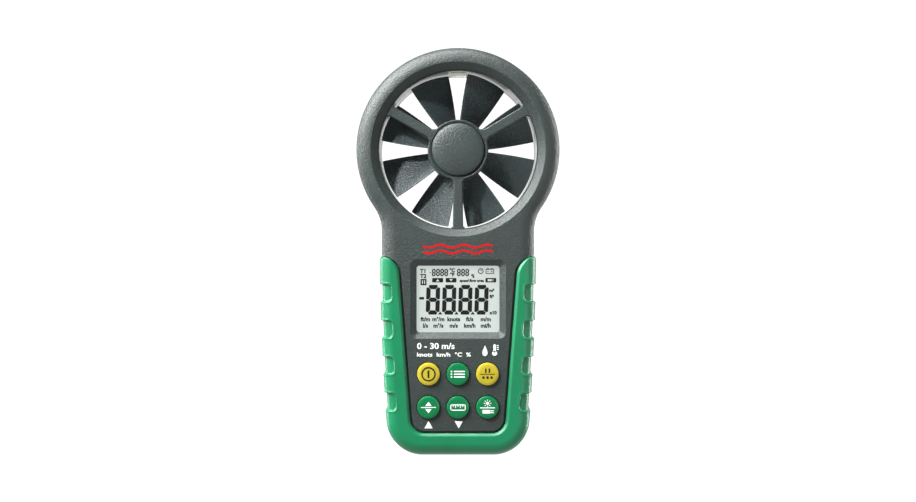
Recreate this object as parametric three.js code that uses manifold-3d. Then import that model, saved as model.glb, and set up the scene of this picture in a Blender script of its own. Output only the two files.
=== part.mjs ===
// Handheld vane anemometer: a fan head on a grip, with a display, six keys, a rubber boot and a 9 V battery.
// Millimetres. +X is the reader's right, the front faces -Y and +Z is up. The origin is under the middle of
// the base, on the surface that the meter stands on.
import * as THREE from "three";
import { mergeVertices } from "three/addons/utils/BufferGeometryUtils.js";
import Module from "manifold-3d";

const wasm = await Module();
wasm.setup();

// ---------------------------------------------------------------- driving dimensions

const DUCT_SIDES = 48; // facets round the air duct
const HUB_SIDES = 24; // facets round the hubs
const GAP = 0.3; // clearance between fitted pieces
const FAR = 60; // beyond the part, for cutters that run right through

// Casing
const HEAD_R = 42.5; // outer radius of the fan head
const HEAD_Z = 127.5; // height of the fan's axis
const FRONT_Y = -17.4; // front face
const HEAD_BACK_Y = 16.2; // back face of the head
const GRIP_BACK_Y = 18.4; // back face of the grip
const HEAD_EDGE = 4.4; // depth of the rounding of the head's and neck's outer edges
const HEAD_CROWN = 6; // width of that rounding, seen from the front
const PARTING_Y = 0.5; // plane where the two casings meet
const WALL = 2.2;
const NECK_HALF = 31.8; // half the width of the neck
const NECK_FILLET = 18; // concave radius from the neck to the head
const BACK_EDGE = 6; // rounding of the grip's back edges
const CORE_EDGE = 3; // rounding of the core that fills the boot
const CORE_TOP_Z = 88; // the core runs on this far into the neck
const HOLLOW = { headLow: 84, panelInset: 1.5, panelTop: 87.7, gripTop: 92 };

// Boot
const BOOT_TOP_Z = 82.9;
const BOOT_TOP_HALF = 32.6; // half the boot's width at its top
const BOOT_TAPER = 3.6; // how far each side draws in towards the base
const BOOT_CORNER_R = 15.3;
const BOOT_FRONT_Y = -18.2;
const BOOT_BACK_Y = 19;
const BOOT_EDGE = 5; // rounding of its outer edges
const BOOT_THICK = 2;

// The boot's window, with the casing's panel in it
const PANEL_TOP_HALF = 24.4; // half its width where its sides start to flare out
const PANEL_TOP_Z = 74.6;
const PANEL_BASE_HALF = 19.9;
const PANEL_BASE_Z = 9.3;
const PANEL_CORNER_R = 6;
const PANEL_GROOVE = 0.8; // groove between the boot and the panel
const NECK_GAP = 0.3; // between the boot's top and the neck

// Finger notches on the boot's sides
const NOTCH_Z = [22.3, 37.4, 52.5, 67.6];
const NOTCH_HEIGHT = 7.6;
const NOTCH_CORNER = 1.4;
const NOTCH_REACH = 5.2; // how far a notch runs in from the side, seen from the front
const NOTCH_DEPTH = 0.9;

// Air duct
const DUCT_R = 33; // inner radius
const FUNNEL_R = 36.1; // mouth of the funnels, front and back
const FUNNEL_DEPTH = 3;
const SEAT_R = 34.6; // bore in the casing that holds the liner and the guards
const LINER_R = 34.3; // outside of the liner and of the guards' rims
const TUBE_R = 36.4; // outside of the bore's wall, inside the hollow head
const GUARD_DEPTH = 2.2; // depth of the guards' rims and struts

// Guards and rotor
const HUB_R = 12.45;
const STRUT_ROOT = 3.8; // width of a strut at the hub
const STRUT_TIP = 4.4;
const STRUT_ANGLES = [30, 150, 270];
const CAP_R = 10.9;
const ROTOR_HUB_R = 12.8;
const ROTOR_TIP_R = 32.4;
const ROTOR_Y = -3.5; // middle of the rotor
const ROTOR_HALF = 5.5; // half its depth
const BLADES = 8;
const BLADE_ROOT_SPAN = 37; // degrees that a blade covers at the hub, seen from the front
const BLADE_TIP_SPAN = 30.7;
const BLADE_THICK = 0.9;
const SHAFT_R = 0.8;
const REAR_HUB_Y = 3.6; // front of the rear guard's hub
const CAP_SEAT = 1.1; // depth of the cap's recess in the front guard
const CAP_RISE = 1.9; // height of its dome
const guardFront = FRONT_Y + FUNNEL_DEPTH + 0.1; // front of the front guard's rim
const guardBack = HEAD_BACK_Y - FUNNEL_DEPTH - 0.1; // back of the rear guard's rim

// Display
const DISPLAY_Z = 65.1;
const WINDOW = { width: 34.5, height: 27.7, corner: 1.2 };
const BEZEL = { width: 39.3, height: 32.4, corner: 1.6, depth: 1.7 };

// Keys
const KEY_R = 4.7;
const KEY_TOP_Y = -19;
const KEY_COLUMNS = [-12.25, 0, 12.25];
const KEY_ROWS = [34, 20.2];

// Inside the grip
const PANEL_INNER_Y = FRONT_Y + WALL;
const BOARD_Y = -8.2; // front face of the main board
const BOARD_THICK = 1.6;
const LCD_Y = -14; // front of the LCD's glass
const KEY_BACK_Y = -13.3; // back of the keys
const KEY_TRAVEL = 0.8;
const KEYPAD_MAT = { half: 17.6, low: 16, high: 40.4, domeTop: 2.6, domeFoot: 4 };
const MAIN_BOARD = { half: 24, low: 16, high: 90, ear: 20.5, earLow: 85 };
const MAIN_CHIP = { half: 6, low: 56, high: 68, thick: 1.4 };
const BUZZER = { x: -12, z: 84, radius: 5, depth: 3.6 };
const BATTERY = { width: 26.5, depth: 17.5, body: 46, base: 22.6 };
const BATTERY_MID_Y = 7.4;
const BAY = { half: 14, low: 21.6, high: 77, front: -1.8, wall: 1.4 };
const LEADS_Z = 75.6; // height of the battery's leads
const LEADS_HALF = 4; // half the width of their opening in the bay's wall
const BATTERY_STUDS = { x: 6.35, small: 2.9, large: 4, depth: 3, rise: 1.1 };
const SNAP = { half: 12.6, front: -0.6, back: 15.2, above: 2.8, thick: 2.4 }; // on the battery
const DOOR = { half: 16.4, low: 19.2, high: 79.4, corner: 3, front: 16.4, ledge: 1.6 };
const DOOR_GROOVES = { z: [70, 72.2, 74.4], half: 7, height: 1.1, depth: 0.6 }; // z is of their lower edges
const USB = { inner: 24, outer: 31.2, front: -6.4, back: -2.4, low: 86.6, high: 94.4 };

// Sensors
const SENSOR = { half: 3.6, front: -11.8, back: -9.6, low: 30.4 }; // low is its height above the fan's axis
const LEAD = { half: 0.8, front: 9.3, back: 11.4, start: 9.8 }; // slot for the fan sensor's lead
const REAR_GUARD_DEPTH = 3.2;
const BEARING = { outer: 2.1, length: 2 };
const MAGNET = { inner: 4.5, outer: 8.5, depth: 2.3 };
const SPEED_SENSOR = { half: 2, halfHeight: 1.5, above: 6.8 }; // above the fan's axis

// Screws
const POST_R = 2.9;
const BOARD_POST_R = 2.3;
const CASE_SCREW = { shank: 0.95, head: 1.9, seat: 8, tip: -7.5 };
const BOARD_SCREW = { shank: 0.85, head: 1.7, seat: -6.5, tip: -12.5 };

const LID_SCREW_R = 38.6; // the head's case screws lie on this radius
const CASE_SCREWS = [onHead(LID_SCREW_R, 47), onHead(LID_SCREW_R, 133), onHead(LID_SCREW_R, -38)];
CASE_SCREWS.push(onHead(LID_SCREW_R, -142), new THREE.Vector2(-9, 12.5), new THREE.Vector2(9, 12.5));
const BOARD_SCREW_X = 21.5;
const BOARD_SCREWS = [
  new THREE.Vector2(-BOARD_SCREW_X, 84.5),
  new THREE.Vector2(BOARD_SCREW_X, 84.5),
  new THREE.Vector2(-BOARD_SCREW_X, 44.5),
  new THREE.Vector2(BOARD_SCREW_X, 44.5),
];

// ---------------------------------------------------------------- finishes

const finish = (color, roughness, metalness = 0) => ({ color, roughness, metalness });
const CASE_GREY = finish(0x48524f, 0.55);
const BOOT_GREEN = finish(0x15905e, 0.6);
const BLADE_BLACK = finish(0x30373a, 0.5);
const LINER_WHITE = finish(0xdcdcd6, 0.35);
const KEY_GREEN = finish(0x3c9d5f, 0.35);
const KEY_YELLOW = finish(0xe1e166, 0.35);
const STEEL = finish(0xb9bcc0, 0.25, 1);
const BRASS = finish(0xb89a52, 0.3, 1);
const BOARD_GREEN = finish(0x1d5a35, 0.5);
const CHIP_BLACK = finish(0x17181a, 0.4);
const GLASS = finish(0xe9f2ee, 0.05);
const DISPLAY_GREY = finish(0xd4e4dc, 0.4);
const WHITE_PLASTIC = finish(0xeeeeea, 0.5);
const SILICONE = finish(0xc9ccc9, 0.8);
const CREAM = finish(0xd5d5cc, 0.6);
const BATTERY_BLACK = finish(0x2b2d33, 0.35);
const WIRE_RED = finish(0xb3231f, 0.5);
const WIRE_BLACK = finish(0x18181a, 0.5);

// ---------------------------------------------------------------- solids

/** A closed geometry as a manifold-3d solid, whichever way round its faces run. */
function solid(geometry) {
  const bare = new THREE.BufferGeometry().setAttribute("position", geometry.getAttribute("position").clone());
  if (geometry.index) bare.setIndex(geometry.index.clone());
  const merged = mergeVertices(bare, 1e-4);
  const vertProperties = new Float32Array(merged.attributes.position.array);
  const triVerts = new Uint32Array(merged.index.array);
  const made = new wasm.Manifold(new wasm.Mesh({ numProp: 3, vertProperties, triVerts }));
  if (made.volume() > 0) return made;
  for (let i = 0; i < triVerts.length; i += 3) {
    [triVerts[i + 1], triVerts[i + 2]] = [triVerts[i + 2], triVerts[i + 1]];
  }
  return new wasm.Manifold(new wasm.Mesh({ numProp: 3, vertProperties, triVerts }));
}

/** A manifold-3d solid as a three.js geometry. */
function geometryOf(body) {
  const mesh = body.getMesh();
  const geometry = new THREE.BufferGeometry();
  geometry.setAttribute("position", new THREE.BufferAttribute(mesh.vertProperties, 3));
  geometry.setIndex(new THREE.BufferAttribute(mesh.triVerts, 1));
  return geometry;
}

const join = (...bodies) => bodies.flat().reduce((a, b) => a.add(b));
const cut = (body, ...tools) => tools.flat().reduce((a, b) => a.subtract(b), body);

/** A box from its lowest corner to its highest. */
function box(x0, y0, z0, x1, y1, z1) {
  const geometry = new THREE.BoxGeometry(x1 - x0, y1 - y0, z1 - z0);
  return solid(geometry.translate((x0 + x1) / 2, (y0 + y1) / 2, (z0 + z1) / 2));
}

/** A profile of [radius, y] points turned about an axis along Y through (x, z). */
function turned(profile, x, z, sides) {
  const points = profile.map(([r, y]) => new THREE.Vector2(r, y));
  return solid(new THREE.LatheGeometry(points, sides).translate(x, 0, z));
}

/** A round bar along Y, centred on (x, z). */
function bar(x, z, radius, y0, y1, sides = 16) {
  const profile = [
    [0, y0],
    [radius, y0],
    [radius, y1],
    [0, y1],
  ];
  return turned(profile, x, z, sides);
}

/** A ring of rectangular section along Y, centred on (x, z). */
function ring(inner, outer, y0, y1, sides = 48, x = 0, z = HEAD_Z) {
  const profile = [
    [inner, y0],
    [outer, y0],
    [outer, y1],
    [inner, y1],
    [inner, y0],
  ];
  return turned(profile, x, z, sides);
}

/** An outline in the XZ plane drawn out along Y, its edges rounded: `round` deep and `spread` inwards. */
function slab(outline, y0, y1, round = 0, steps = 1, spread = round) {
  const geometry = new THREE.ExtrudeGeometry(new THREE.Shape(outline), {
    depth: y1 - y0 - 2 * round,
    bevelEnabled: round > 0,
    bevelThickness: round,
    bevelSize: spread,
    bevelOffset: -spread,
    bevelSegments: steps,
  });
  return solid(geometry.rotateX(Math.PI / 2).translate(0, y1 - round, 0));
}

/** A round wire through points. */
function wire(points, radius) {
  const corners = points.map(([x, y, z]) => new THREE.Vector3(x, y, z));
  const path = new THREE.CatmullRomCurve3(corners, false, "catmullrom", 0.2);
  const section = new THREE.Shape(arc(0, 0, radius, radius, 0, Math.PI * (5 / 3), 5));
  return solid(new THREE.ExtrudeGeometry(section, { steps: 9, extrudePath: path, bevelEnabled: false }));
}

// ---------------------------------------------------------------- outlines in the XZ plane

/** A point on the fan head, at an angle in degrees from +X towards +Z. */
function onHead(radius, angle) {
  const a = THREE.MathUtils.degToRad(angle);
  return new THREE.Vector2(radius * Math.cos(a), HEAD_Z + radius * Math.sin(a));
}

/** Points along an arc, ends included. Angles are in radians. */
function arc(x, z, rx, rz, from, to, steps) {
  return Array.from({ length: steps + 1 }, (_, i) => {
    const a = from + ((to - from) * i) / steps;
    return new THREE.Vector2(x + rx * Math.cos(a), z + rz * Math.sin(a));
  });
}

/** The right half of an outline, from the base up, closed by its mirror image. */
function mirrored(right) {
  const left = right.filter((p) => p.x > 1e-6).map((p) => new THREE.Vector2(-p.x, p.y));
  return [...right, ...left.reverse()];
}

function roundedRect(width, height, corner, z, steps = 3) {
  const x = width / 2 - corner;
  const dz = height / 2 - corner;
  return mirrored([
    ...arc(x, z - dz, corner, corner, -Math.PI / 2, 0, steps),
    ...arc(x, z + dz, corner, corner, 0, Math.PI / 2, steps),
  ]);
}

/** Half the boot's width at height z. */
function bootHalf(z) {
  const fall = (BOOT_TOP_Z - Math.min(z, BOOT_TOP_Z)) / BOOT_TOP_Z;
  return BOOT_TOP_HALF - BOOT_TAPER * fall ** 1.8;
}

/** The grip's outline from the base up to z = top, drawn in by `inset` all round. */
function gripOutline(inset, top) {
  const lean = Math.atan((1.6 * BOOT_TAPER) / BOOT_TOP_Z); // of the sides, where the corners meet them
  const cornerTop = BOOT_CORNER_R * (1 - Math.sin(lean));
  const cornerX = bootHalf(cornerTop) - BOOT_CORNER_R * Math.cos(lean);
  const radius = BOOT_CORNER_R - inset;
  const sideSteps = 4;
  const side = Array.from({ length: sideSteps }, (_, i) => {
    const z = cornerTop + ((top - inset - cornerTop) * (i + 1)) / sideSteps;
    return new THREE.Vector2(bootHalf(z) - inset, z);
  });
  return mirrored([...arc(cornerX, BOOT_CORNER_R, radius, radius, -Math.PI / 2, -lean, 6), ...side]);
}

/** The head and neck down to z = bottom, drawn in by `inset`. */
function headOutline(inset, bottom, headSteps = 17) {
  const filletX = NECK_HALF + NECK_FILLET;
  const filletZ = HEAD_Z - Math.sqrt((HEAD_R + NECK_FILLET) ** 2 - filletX ** 2);
  const tangent = Math.atan2(filletZ - HEAD_Z, filletX);
  const radius = NECK_FILLET + inset;
  return mirrored([
    new THREE.Vector2(NECK_HALF - inset, bottom),
    ...arc(filletX, filletZ, radius, radius, Math.PI, Math.PI + tangent, 4),
    ...arc(0, HEAD_Z, HEAD_R - inset, HEAD_R - inset, tangent, Math.PI / 2, headSteps).slice(1),
  ]);
}

/** The boot's window drawn in by `inset`, with its mouth spread sideways at the boot's top. */
function windowOutline(inset) {
  const spreadX = BOOT_TOP_HALF;
  const lean = Math.atan2(PANEL_TOP_HALF - PANEL_BASE_HALF, PANEL_TOP_Z - PANEL_BASE_Z);
  const corner = PANEL_CORNER_R - inset;
  const cornerX = PANEL_BASE_HALF - PANEL_CORNER_R;
  const cornerZ = PANEL_BASE_Z + PANEL_CORNER_R;
  const flareWidth = spreadX - PANEL_TOP_HALF + inset;
  const rise = Math.min(inset, NECK_GAP);
  const flareHeight = BOOT_TOP_Z - PANEL_TOP_Z + rise;
  return mirrored([
    ...arc(cornerX, cornerZ, corner, corner, -Math.PI / 2, -lean, 4),
    ...arc(spreadX, PANEL_TOP_Z, flareWidth, flareHeight, Math.PI, Math.PI / 2, 6),
    new THREE.Vector2(FAR, BOOT_TOP_Z + rise),
    new THREE.Vector2(FAR, 200),
  ]);
}

/** A solid between two outlines that have as many points, at y0 and y1. */
function ruled(a, y0, b, y1) {
  const n = a.length;
  const index = [];
  for (const [i, j, k] of THREE.ShapeUtils.triangulateShape(a, [])) index.push(i, j, k, n + k, n + j, n + i);
  for (let i = 0; i < n; i += 1) {
    const next = (i + 1) % n;
    index.push(next, i, n + i, next, n + i, n + next);
  }
  const positions = [...a.map((p) => [p.x, y0, p.y]), ...b.map((p) => [p.x, y1, p.y])].flat();
  const geometry = new THREE.BufferGeometry();
  geometry.setAttribute("position", new THREE.Float32BufferAttribute(positions, 3));
  geometry.setIndex(index);
  return solid(geometry);
}

// ---------------------------------------------------------------- casings

/** The outside of both casings in one: head and neck, the panel in the boot's window, the core in the boot. */
function casingBlank() {
  const coreInset = BOOT_THICK + GAP;
  const sideInset = BOOT_TOP_HALF - NECK_HALF;
  const head = slab(headOutline(0, 60), FRONT_Y, HEAD_BACK_Y, HEAD_EDGE, 3, HEAD_CROWN);
  const grip = slab(gripOutline(sideInset, CORE_TOP_Z + 2), FRONT_Y, GRIP_BACK_Y, BACK_EDGE, 3);
  const coreFront = BOOT_FRONT_Y + coreInset;
  const coreBack = BOOT_BACK_Y - coreInset;
  const core = slab(gripOutline(coreInset, CORE_TOP_Z), coreFront, coreBack, CORE_EDGE, 2);
  const bootSpace = cut(box(-FAR, -FAR, -10, FAR, FAR, BOOT_TOP_Z + NECK_GAP), panelPrism(PANEL_GROOVE));
  return join(cut(join(head, grip), bootSpace), core);
}

/** The boot's window as a prism right through the part. */
const panelPrism = (inset) => slab(windowOutline(inset), -FAR, FAR);

/** The air path: a bore with a funnel at each end, and a wider seat between them for the liner and guards. */
function ductBore() {
  const beyond = 2; // how far the cutter runs past each face
  const wide = FUNNEL_R + (beyond * (FUNNEL_R - DUCT_R)) / FUNNEL_DEPTH;
  const seatFront = FRONT_Y + FUNNEL_DEPTH;
  const seatBack = HEAD_BACK_Y - FUNNEL_DEPTH;
  const profile = [
    [0, FRONT_Y - beyond],
    [wide, FRONT_Y - beyond],
    [DUCT_R, seatFront],
    [SEAT_R, seatFront],
    [SEAT_R, seatBack],
    [DUCT_R, seatBack],
    [wide, HEAD_BACK_Y + beyond],
    [0, HEAD_BACK_Y + beyond],
  ];
  return turned(profile, 0, HEAD_Z, DUCT_SIDES);
}

/** The hollow inside both casings. */
function cavity() {
  const coreWall = BOOT_THICK + GAP + WALL;
  const hollowHead = slab(headOutline(WALL, HOLLOW.headLow, 12), FRONT_Y + WALL, HEAD_BACK_Y - WALL, 2);
  const head = cut(hollowHead, bar(0, HEAD_Z, TUBE_R, -FAR, FAR, 36));
  const grip = slab(gripOutline(coreWall, HOLLOW.gripTop), BOOT_FRONT_Y + coreWall, BOOT_BACK_Y - coreWall);
  const panelTop = box(-FAR, -FAR, 0, FAR, FAR, HOLLOW.panelTop);
  const panelSpace = slab(windowOutline(PANEL_GROOVE + HOLLOW.panelInset), PANEL_INNER_Y, GRIP_BACK_Y - WALL);
  const panel = panelSpace.intersect(panelTop);
  const within = slab(headOutline(WALL, 0), -FAR, FAR);
  return join(head, grip, panel.intersect(within));
}

const hole = ({ x, y: z }, radius, y0, y1) => bar(x, z, radius, y0, y1, 10);

/** The sloped recess round the display, with the opening at its foot. */
function displayOpening() {
  const beyond = 1; // how far the cutter runs past the front face
  const outer = roundedRect(BEZEL.width, BEZEL.height, BEZEL.corner, DISPLAY_Z);
  const foot = roundedRect(WINDOW.width, WINDOW.height, WINDOW.corner, DISPLAY_Z);
  const mouth = outer.map((p, i) => foot[i].clone().lerp(p, 1 + beyond / BEZEL.depth));
  const slope = ruled(mouth, FRONT_Y - beyond, foot, FRONT_Y + BEZEL.depth);
  return join(slope, slab(foot, FRONT_Y, PANEL_INNER_Y + 1));
}

/** The opening in the neck's right side for the USB socket. */
function usbOpening() {
  const { inner, front, back, low, high } = USB;
  return box(inner - GAP, front - GAP, low - GAP, FAR, back + GAP, high + GAP);
}

/** The slot at the top of the duct for the humidity sensor. */
function sensorSlot() {
  const half = SENSOR.half + GAP;
  return box(-half, SENSOR.front - GAP, HEAD_Z + SENSOR.low - GAP, half, SENSOR.back + GAP, HEAD_Z + TUBE_R);
}

/** The way for the fan sensor's lead, along the lower strut of the rear guard and through the duct's wall. */
function leadSlot() {
  return box(-LEAD.half, LEAD.front, HEAD_Z - TUBE_R - 1, LEAD.half, LEAD.back, HEAD_Z - LEAD.start);
}

function frontCase(blank, hollow) {
  const parting = PARTING_Y - GAP / 2;
  const half = box(-FAR, -FAR, -5, FAR, parting, 200);
  const posts = [
    ...CASE_SCREWS.map((p) => hole(p, POST_R, PANEL_INNER_Y - 0.5, parting)),
    ...BOARD_SCREWS.map((p) => hole(p, BOARD_POST_R, PANEL_INNER_Y - 0.5, BOARD_Y - 0.1)),
  ];
  const pilots = [
    ...CASE_SCREWS.map((p) => hole(p, CASE_SCREW.shank + GAP, CASE_SCREW.tip - 0.5, FAR)),
    ...BOARD_SCREWS.map((p) => hole(p, BOARD_SCREW.shank + GAP, BOARD_SCREW.tip - 0.5, FAR)),
  ];
  const keys = KEY_ROWS.flatMap((z) => KEY_COLUMNS.map((x) => bar(x, z, KEY_R + GAP, -FAR, -10, 16)));
  const shell = join(cut(blank, hollow).intersect(half), posts.map((p) => p.intersect(blank)));
  return cut(shell, ductBore(), displayOpening(), keys, pilots, sensorSlot(), usbOpening());
}

function rearCase(blank, hollow) {
  const parting = PARTING_Y + GAP / 2;
  const half = box(-FAR, parting, -5, FAR, FAR, 200);
  const { half: bayHalf, low, high, front, wall } = BAY;
  const rimHalf = DOOR.half + DOOR.ledge;
  const bay = box(-bayHalf - wall, front - wall, low - wall, bayHalf + wall, GRIP_BACK_Y - 1, high + wall);
  const rimLow = DOOR.low - DOOR.ledge;
  const rimHigh = DOOR.high + DOOR.ledge;
  const doorRim = box(-rimHalf, DOOR.front - 2, rimLow, rimHalf, GRIP_BACK_Y - 1, rimHigh);
  const posts = CASE_SCREWS.map((p) => hole(p, POST_R, parting, HEAD_BACK_Y - 1).intersect(blank));
  const shell = join(cut(blank, hollow).intersect(half), bay, doorRim, posts);
  const cutters = [
    box(-bayHalf, front, low, bayHalf, FAR, high),
    box(-LEADS_HALF, front - 2 * wall, LEADS_Z - 1.2, LEADS_HALF, front + 1, LEADS_Z + 1.2),
    slab(doorOutline(GAP), DOOR.front - 0.1, FAR),
    CASE_SCREWS.map((p) => hole(p, CASE_SCREW.shank + GAP, -FAR, FAR)),
    CASE_SCREWS.map((p) => hole(p, CASE_SCREW.head + GAP, CASE_SCREW.seat, FAR)),
  ];
  return cut(shell, cutters.flat(), ductBore(), leadSlot());
}

/** The battery door's outline, let out by `grow`. */
function doorOutline(grow) {
  const width = 2 * (DOOR.half + grow);
  const height = DOOR.high - DOOR.low + 2 * grow;
  return roundedRect(width, height, DOOR.corner + grow, (DOOR.high + DOOR.low) / 2);
}

function batteryDoor() {
  const { z: levels, half, height, depth } = DOOR_GROOVES;
  const grooves = levels.map((z) => box(-half, GRIP_BACK_Y - depth, z, half, FAR, z + height));
  return cut(slab(doorOutline(0), DOOR.front, GRIP_BACK_Y, 0.5), grooves);
}

// ---------------------------------------------------------------- boot

function rubberBoot() {
  const beyond = 100; // the outlines run on above the boot's top, where the window cuts them off
  const skin = slab(gripOutline(0, beyond), BOOT_FRONT_Y, BOOT_BACK_Y, BOOT_EDGE, 4);
  const inner = gripOutline(BOOT_THICK, beyond + 5);
  const hollow = slab(inner, BOOT_FRONT_Y + BOOT_THICK, BOOT_BACK_Y - BOOT_THICK, BOOT_EDGE - BOOT_THICK, 2);
  const floorOutline = gripOutline(NOTCH_DEPTH, beyond + 5);
  const floorFront = BOOT_FRONT_Y + NOTCH_DEPTH;
  const floorBack = BOOT_BACK_Y - NOTCH_DEPTH;
  const floor = slab(floorOutline, floorFront, floorBack, BOOT_EDGE - NOTCH_DEPTH, 4);
  const notches = NOTCH_Z.flatMap((z) => {
    const reach = bootHalf(z) - NOTCH_REACH;
    const width = FAR - reach;
    const centred = roundedRect(width, NOTCH_HEIGHT, NOTCH_CORNER, z, 2);
    const right = centred.map((p) => p.setX(p.x + reach + width / 2));
    const left = right.map((p) => new THREE.Vector2(-p.x, p.y)).reverse();
    return [slab(right, -FAR, FAR), slab(left, -FAR, FAR)];
  });
  return cut(skin, hollow, panelPrism(0), cut(join(notches), floor));
}

// ---------------------------------------------------------------- fan

/** A guard's three struts and its rim, between y0 and y1. */
function guardArms(y0, y1) {
  const struts = STRUT_ANGLES.map((angle) => {
    const inner = HUB_R - 1;
    const outer = DUCT_R + 0.6;
    const outline = [
      new THREE.Vector2(inner, -STRUT_ROOT / 2),
      new THREE.Vector2(outer, -STRUT_TIP / 2),
      new THREE.Vector2(outer, STRUT_TIP / 2),
      new THREE.Vector2(inner, STRUT_ROOT / 2),
    ];
    const turn = THREE.MathUtils.degToRad(angle);
    return slab(outline.map((p) => p.rotateAround(new THREE.Vector2(), turn).add(onHead(0, 0))), y0, y1);
  });
  return join(struts, ring(DUCT_R, LINER_R, y0, y1, DUCT_SIDES));
}

function frontSpider() {
  const seat = guardFront + CAP_SEAT;
  const back = ROTOR_Y - ROTOR_HALF - 0.9;
  const hub = turned(
    [
      [0, seat],
      [CAP_R + GAP, seat],
      [HUB_R - GAP, guardFront],
      [HUB_R, guardFront + 0.1],
      [HUB_R, back],
      [HUB_R - 1.5, back],
      [HUB_R - 1.5, seat + 1.3],
      [BEARING.outer + 1.3, seat + 1.3],
      [BEARING.outer + 1.3, back],
      [BEARING.outer + 0.2, back],
      [BEARING.outer + 0.2, back - BEARING.length - 0.2],
      [0, back - BEARING.length - 0.2],
    ],
    0,
    HEAD_Z,
    HUB_SIDES,
  );
  return join(hub, guardArms(guardFront, guardFront + GUARD_DEPTH));
}

function rearSpider() {
  const floorY = guardBack - 1.5;
  const ledge = REAR_HUB_Y + 2.7; // the sensor board rests here
  const hub = turned(
    [
      [0, REAR_HUB_Y + BEARING.length + 0.4],
      [BEARING.outer + 0.2, REAR_HUB_Y + BEARING.length + 0.4],
      [BEARING.outer + 0.2, REAR_HUB_Y],
      [BEARING.outer + 1.3, REAR_HUB_Y],
      [BEARING.outer + 1.3, floorY],
      [HUB_R - 2.4, floorY],
      [HUB_R - 2.4, ledge],
      [HUB_R - 1.2, ledge],
      [HUB_R - 1.2, REAR_HUB_Y],
      [HUB_R, REAR_HUB_Y],
      [HUB_R, guardBack],
      [0, guardBack],
    ],
    0,
    HEAD_Z,
    HUB_SIDES,
  );
  return cut(join(hub, guardArms(guardBack - REAR_GUARD_DEPTH, guardBack)), leadSlot());
}

function ductLiner() {
  const front = guardFront + GUARD_DEPTH + 0.1;
  const back = guardBack - REAR_GUARD_DEPTH - 0.1;
  return cut(ring(DUCT_R, LINER_R, front, back, DUCT_SIDES), sensorSlot());
}

/** One blade, centred at an angle. Its anticlockwise edge, seen from the front, is its front edge. */
function blade(centre) {
  const across = 2; // strips from edge to edge
  const along = 2; // strips from hub to tip
  const halfDepth = ROTOR_HALF - BLADE_THICK / 2;
  const rootR = ROTOR_HUB_R - 0.6;
  const point = (i, j, side) => {
    const r = rootR + ((ROTOR_TIP_R - rootR) * j) / along;
    const share = (r - ROTOR_HUB_R) / (ROTOR_TIP_R - ROTOR_HUB_R);
    const span = THREE.MathUtils.degToRad(BLADE_ROOT_SPAN + (BLADE_TIP_SPAN - BLADE_ROOT_SPAN) * share);
    const t = i / across - 0.5;
    const chord = Math.hypot(r * span, 2 * halfDepth);
    const offset = (side * BLADE_THICK) / 2;
    const angle = THREE.MathUtils.degToRad(centre) + t * span + (offset * 2 * halfDepth) / chord / r;
    const y = ROTOR_Y - 2 * t * halfDepth + (offset * r * span) / chord;
    return [r * Math.cos(angle), y, HEAD_Z + r * Math.sin(angle)];
  };
  const positions = [];
  const quad = (a, b, c, d) => positions.push(a, b, c, a, c, d);
  for (let j = 0; j < along; j += 1) {
    for (let i = 0; i < across; i += 1) {
      quad(point(i, j, 1), point(i + 1, j, 1), point(i + 1, j + 1, 1), point(i, j + 1, 1));
      quad(point(i, j, -1), point(i, j + 1, -1), point(i + 1, j + 1, -1), point(i + 1, j, -1));
    }
    quad(point(0, j, -1), point(0, j, 1), point(0, j + 1, 1), point(0, j + 1, -1));
    quad(point(across, j, 1), point(across, j, -1), point(across, j + 1, -1), point(across, j + 1, 1));
  }
  for (let i = 0; i < across; i += 1) {
    quad(point(i, 0, 1), point(i, 0, -1), point(i + 1, 0, -1), point(i + 1, 0, 1));
    quad(point(i, along, -1), point(i, along, 1), point(i + 1, along, 1), point(i + 1, along, -1));
  }
  const geometry = new THREE.BufferGeometry();
  geometry.setAttribute("position", new THREE.Float32BufferAttribute(positions.flat(), 3));
  return solid(geometry);
}

function rotor() {
  const front = ROTOR_Y - ROTOR_HALF;
  const back = ROTOR_Y + ROTOR_HALF;
  const web = back - 1.6;
  const bore = SHAFT_R + 0.2;
  const boss = bore + 1.8;
  const hub = turned(
    [
      [bore, front + 0.4],
      [boss, front + 0.4],
      [boss, web],
      [ROTOR_HUB_R - 1.2, web],
      [ROTOR_HUB_R - 1.2, front],
      [ROTOR_HUB_R, front],
      [ROTOR_HUB_R, back],
      [bore, back],
      [bore, front + 0.4],
    ],
    0,
    HEAD_Z,
    HUB_SIDES,
  );
  const blades = Array.from({ length: BLADES }, (_, i) => blade((360 / BLADES) * (i + 0.5)));
  return join(hub, blades);
}

function hubCap() {
  const back = guardFront + 0.9;
  const edge = guardFront - 0.4;
  const dome = arc(0, 0, CAP_R, CAP_RISE, 0, Math.PI / 2, 4).map((p) => [Math.max(p.x, 0), edge - p.y]);
  dome[dome.length - 1][0] = 0;
  return turned([[0, back], [CAP_R, back], ...dome], 0, HEAD_Z, HUB_SIDES);
}

// ---------------------------------------------------------------- keys, display and electronics

function key(x, z) {
  const flange = KEY_R + 0.6;
  const profile = [
    [0, KEY_TOP_Y],
    [KEY_R - 0.6, KEY_TOP_Y],
    [KEY_R, KEY_TOP_Y + 0.6],
    [KEY_R, PANEL_INNER_Y + 0.1],
    [flange, PANEL_INNER_Y + 0.1],
    [flange, KEY_BACK_Y],
    [0, KEY_BACK_Y],
  ];
  return turned(profile, x, z, 16);
}

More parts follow.
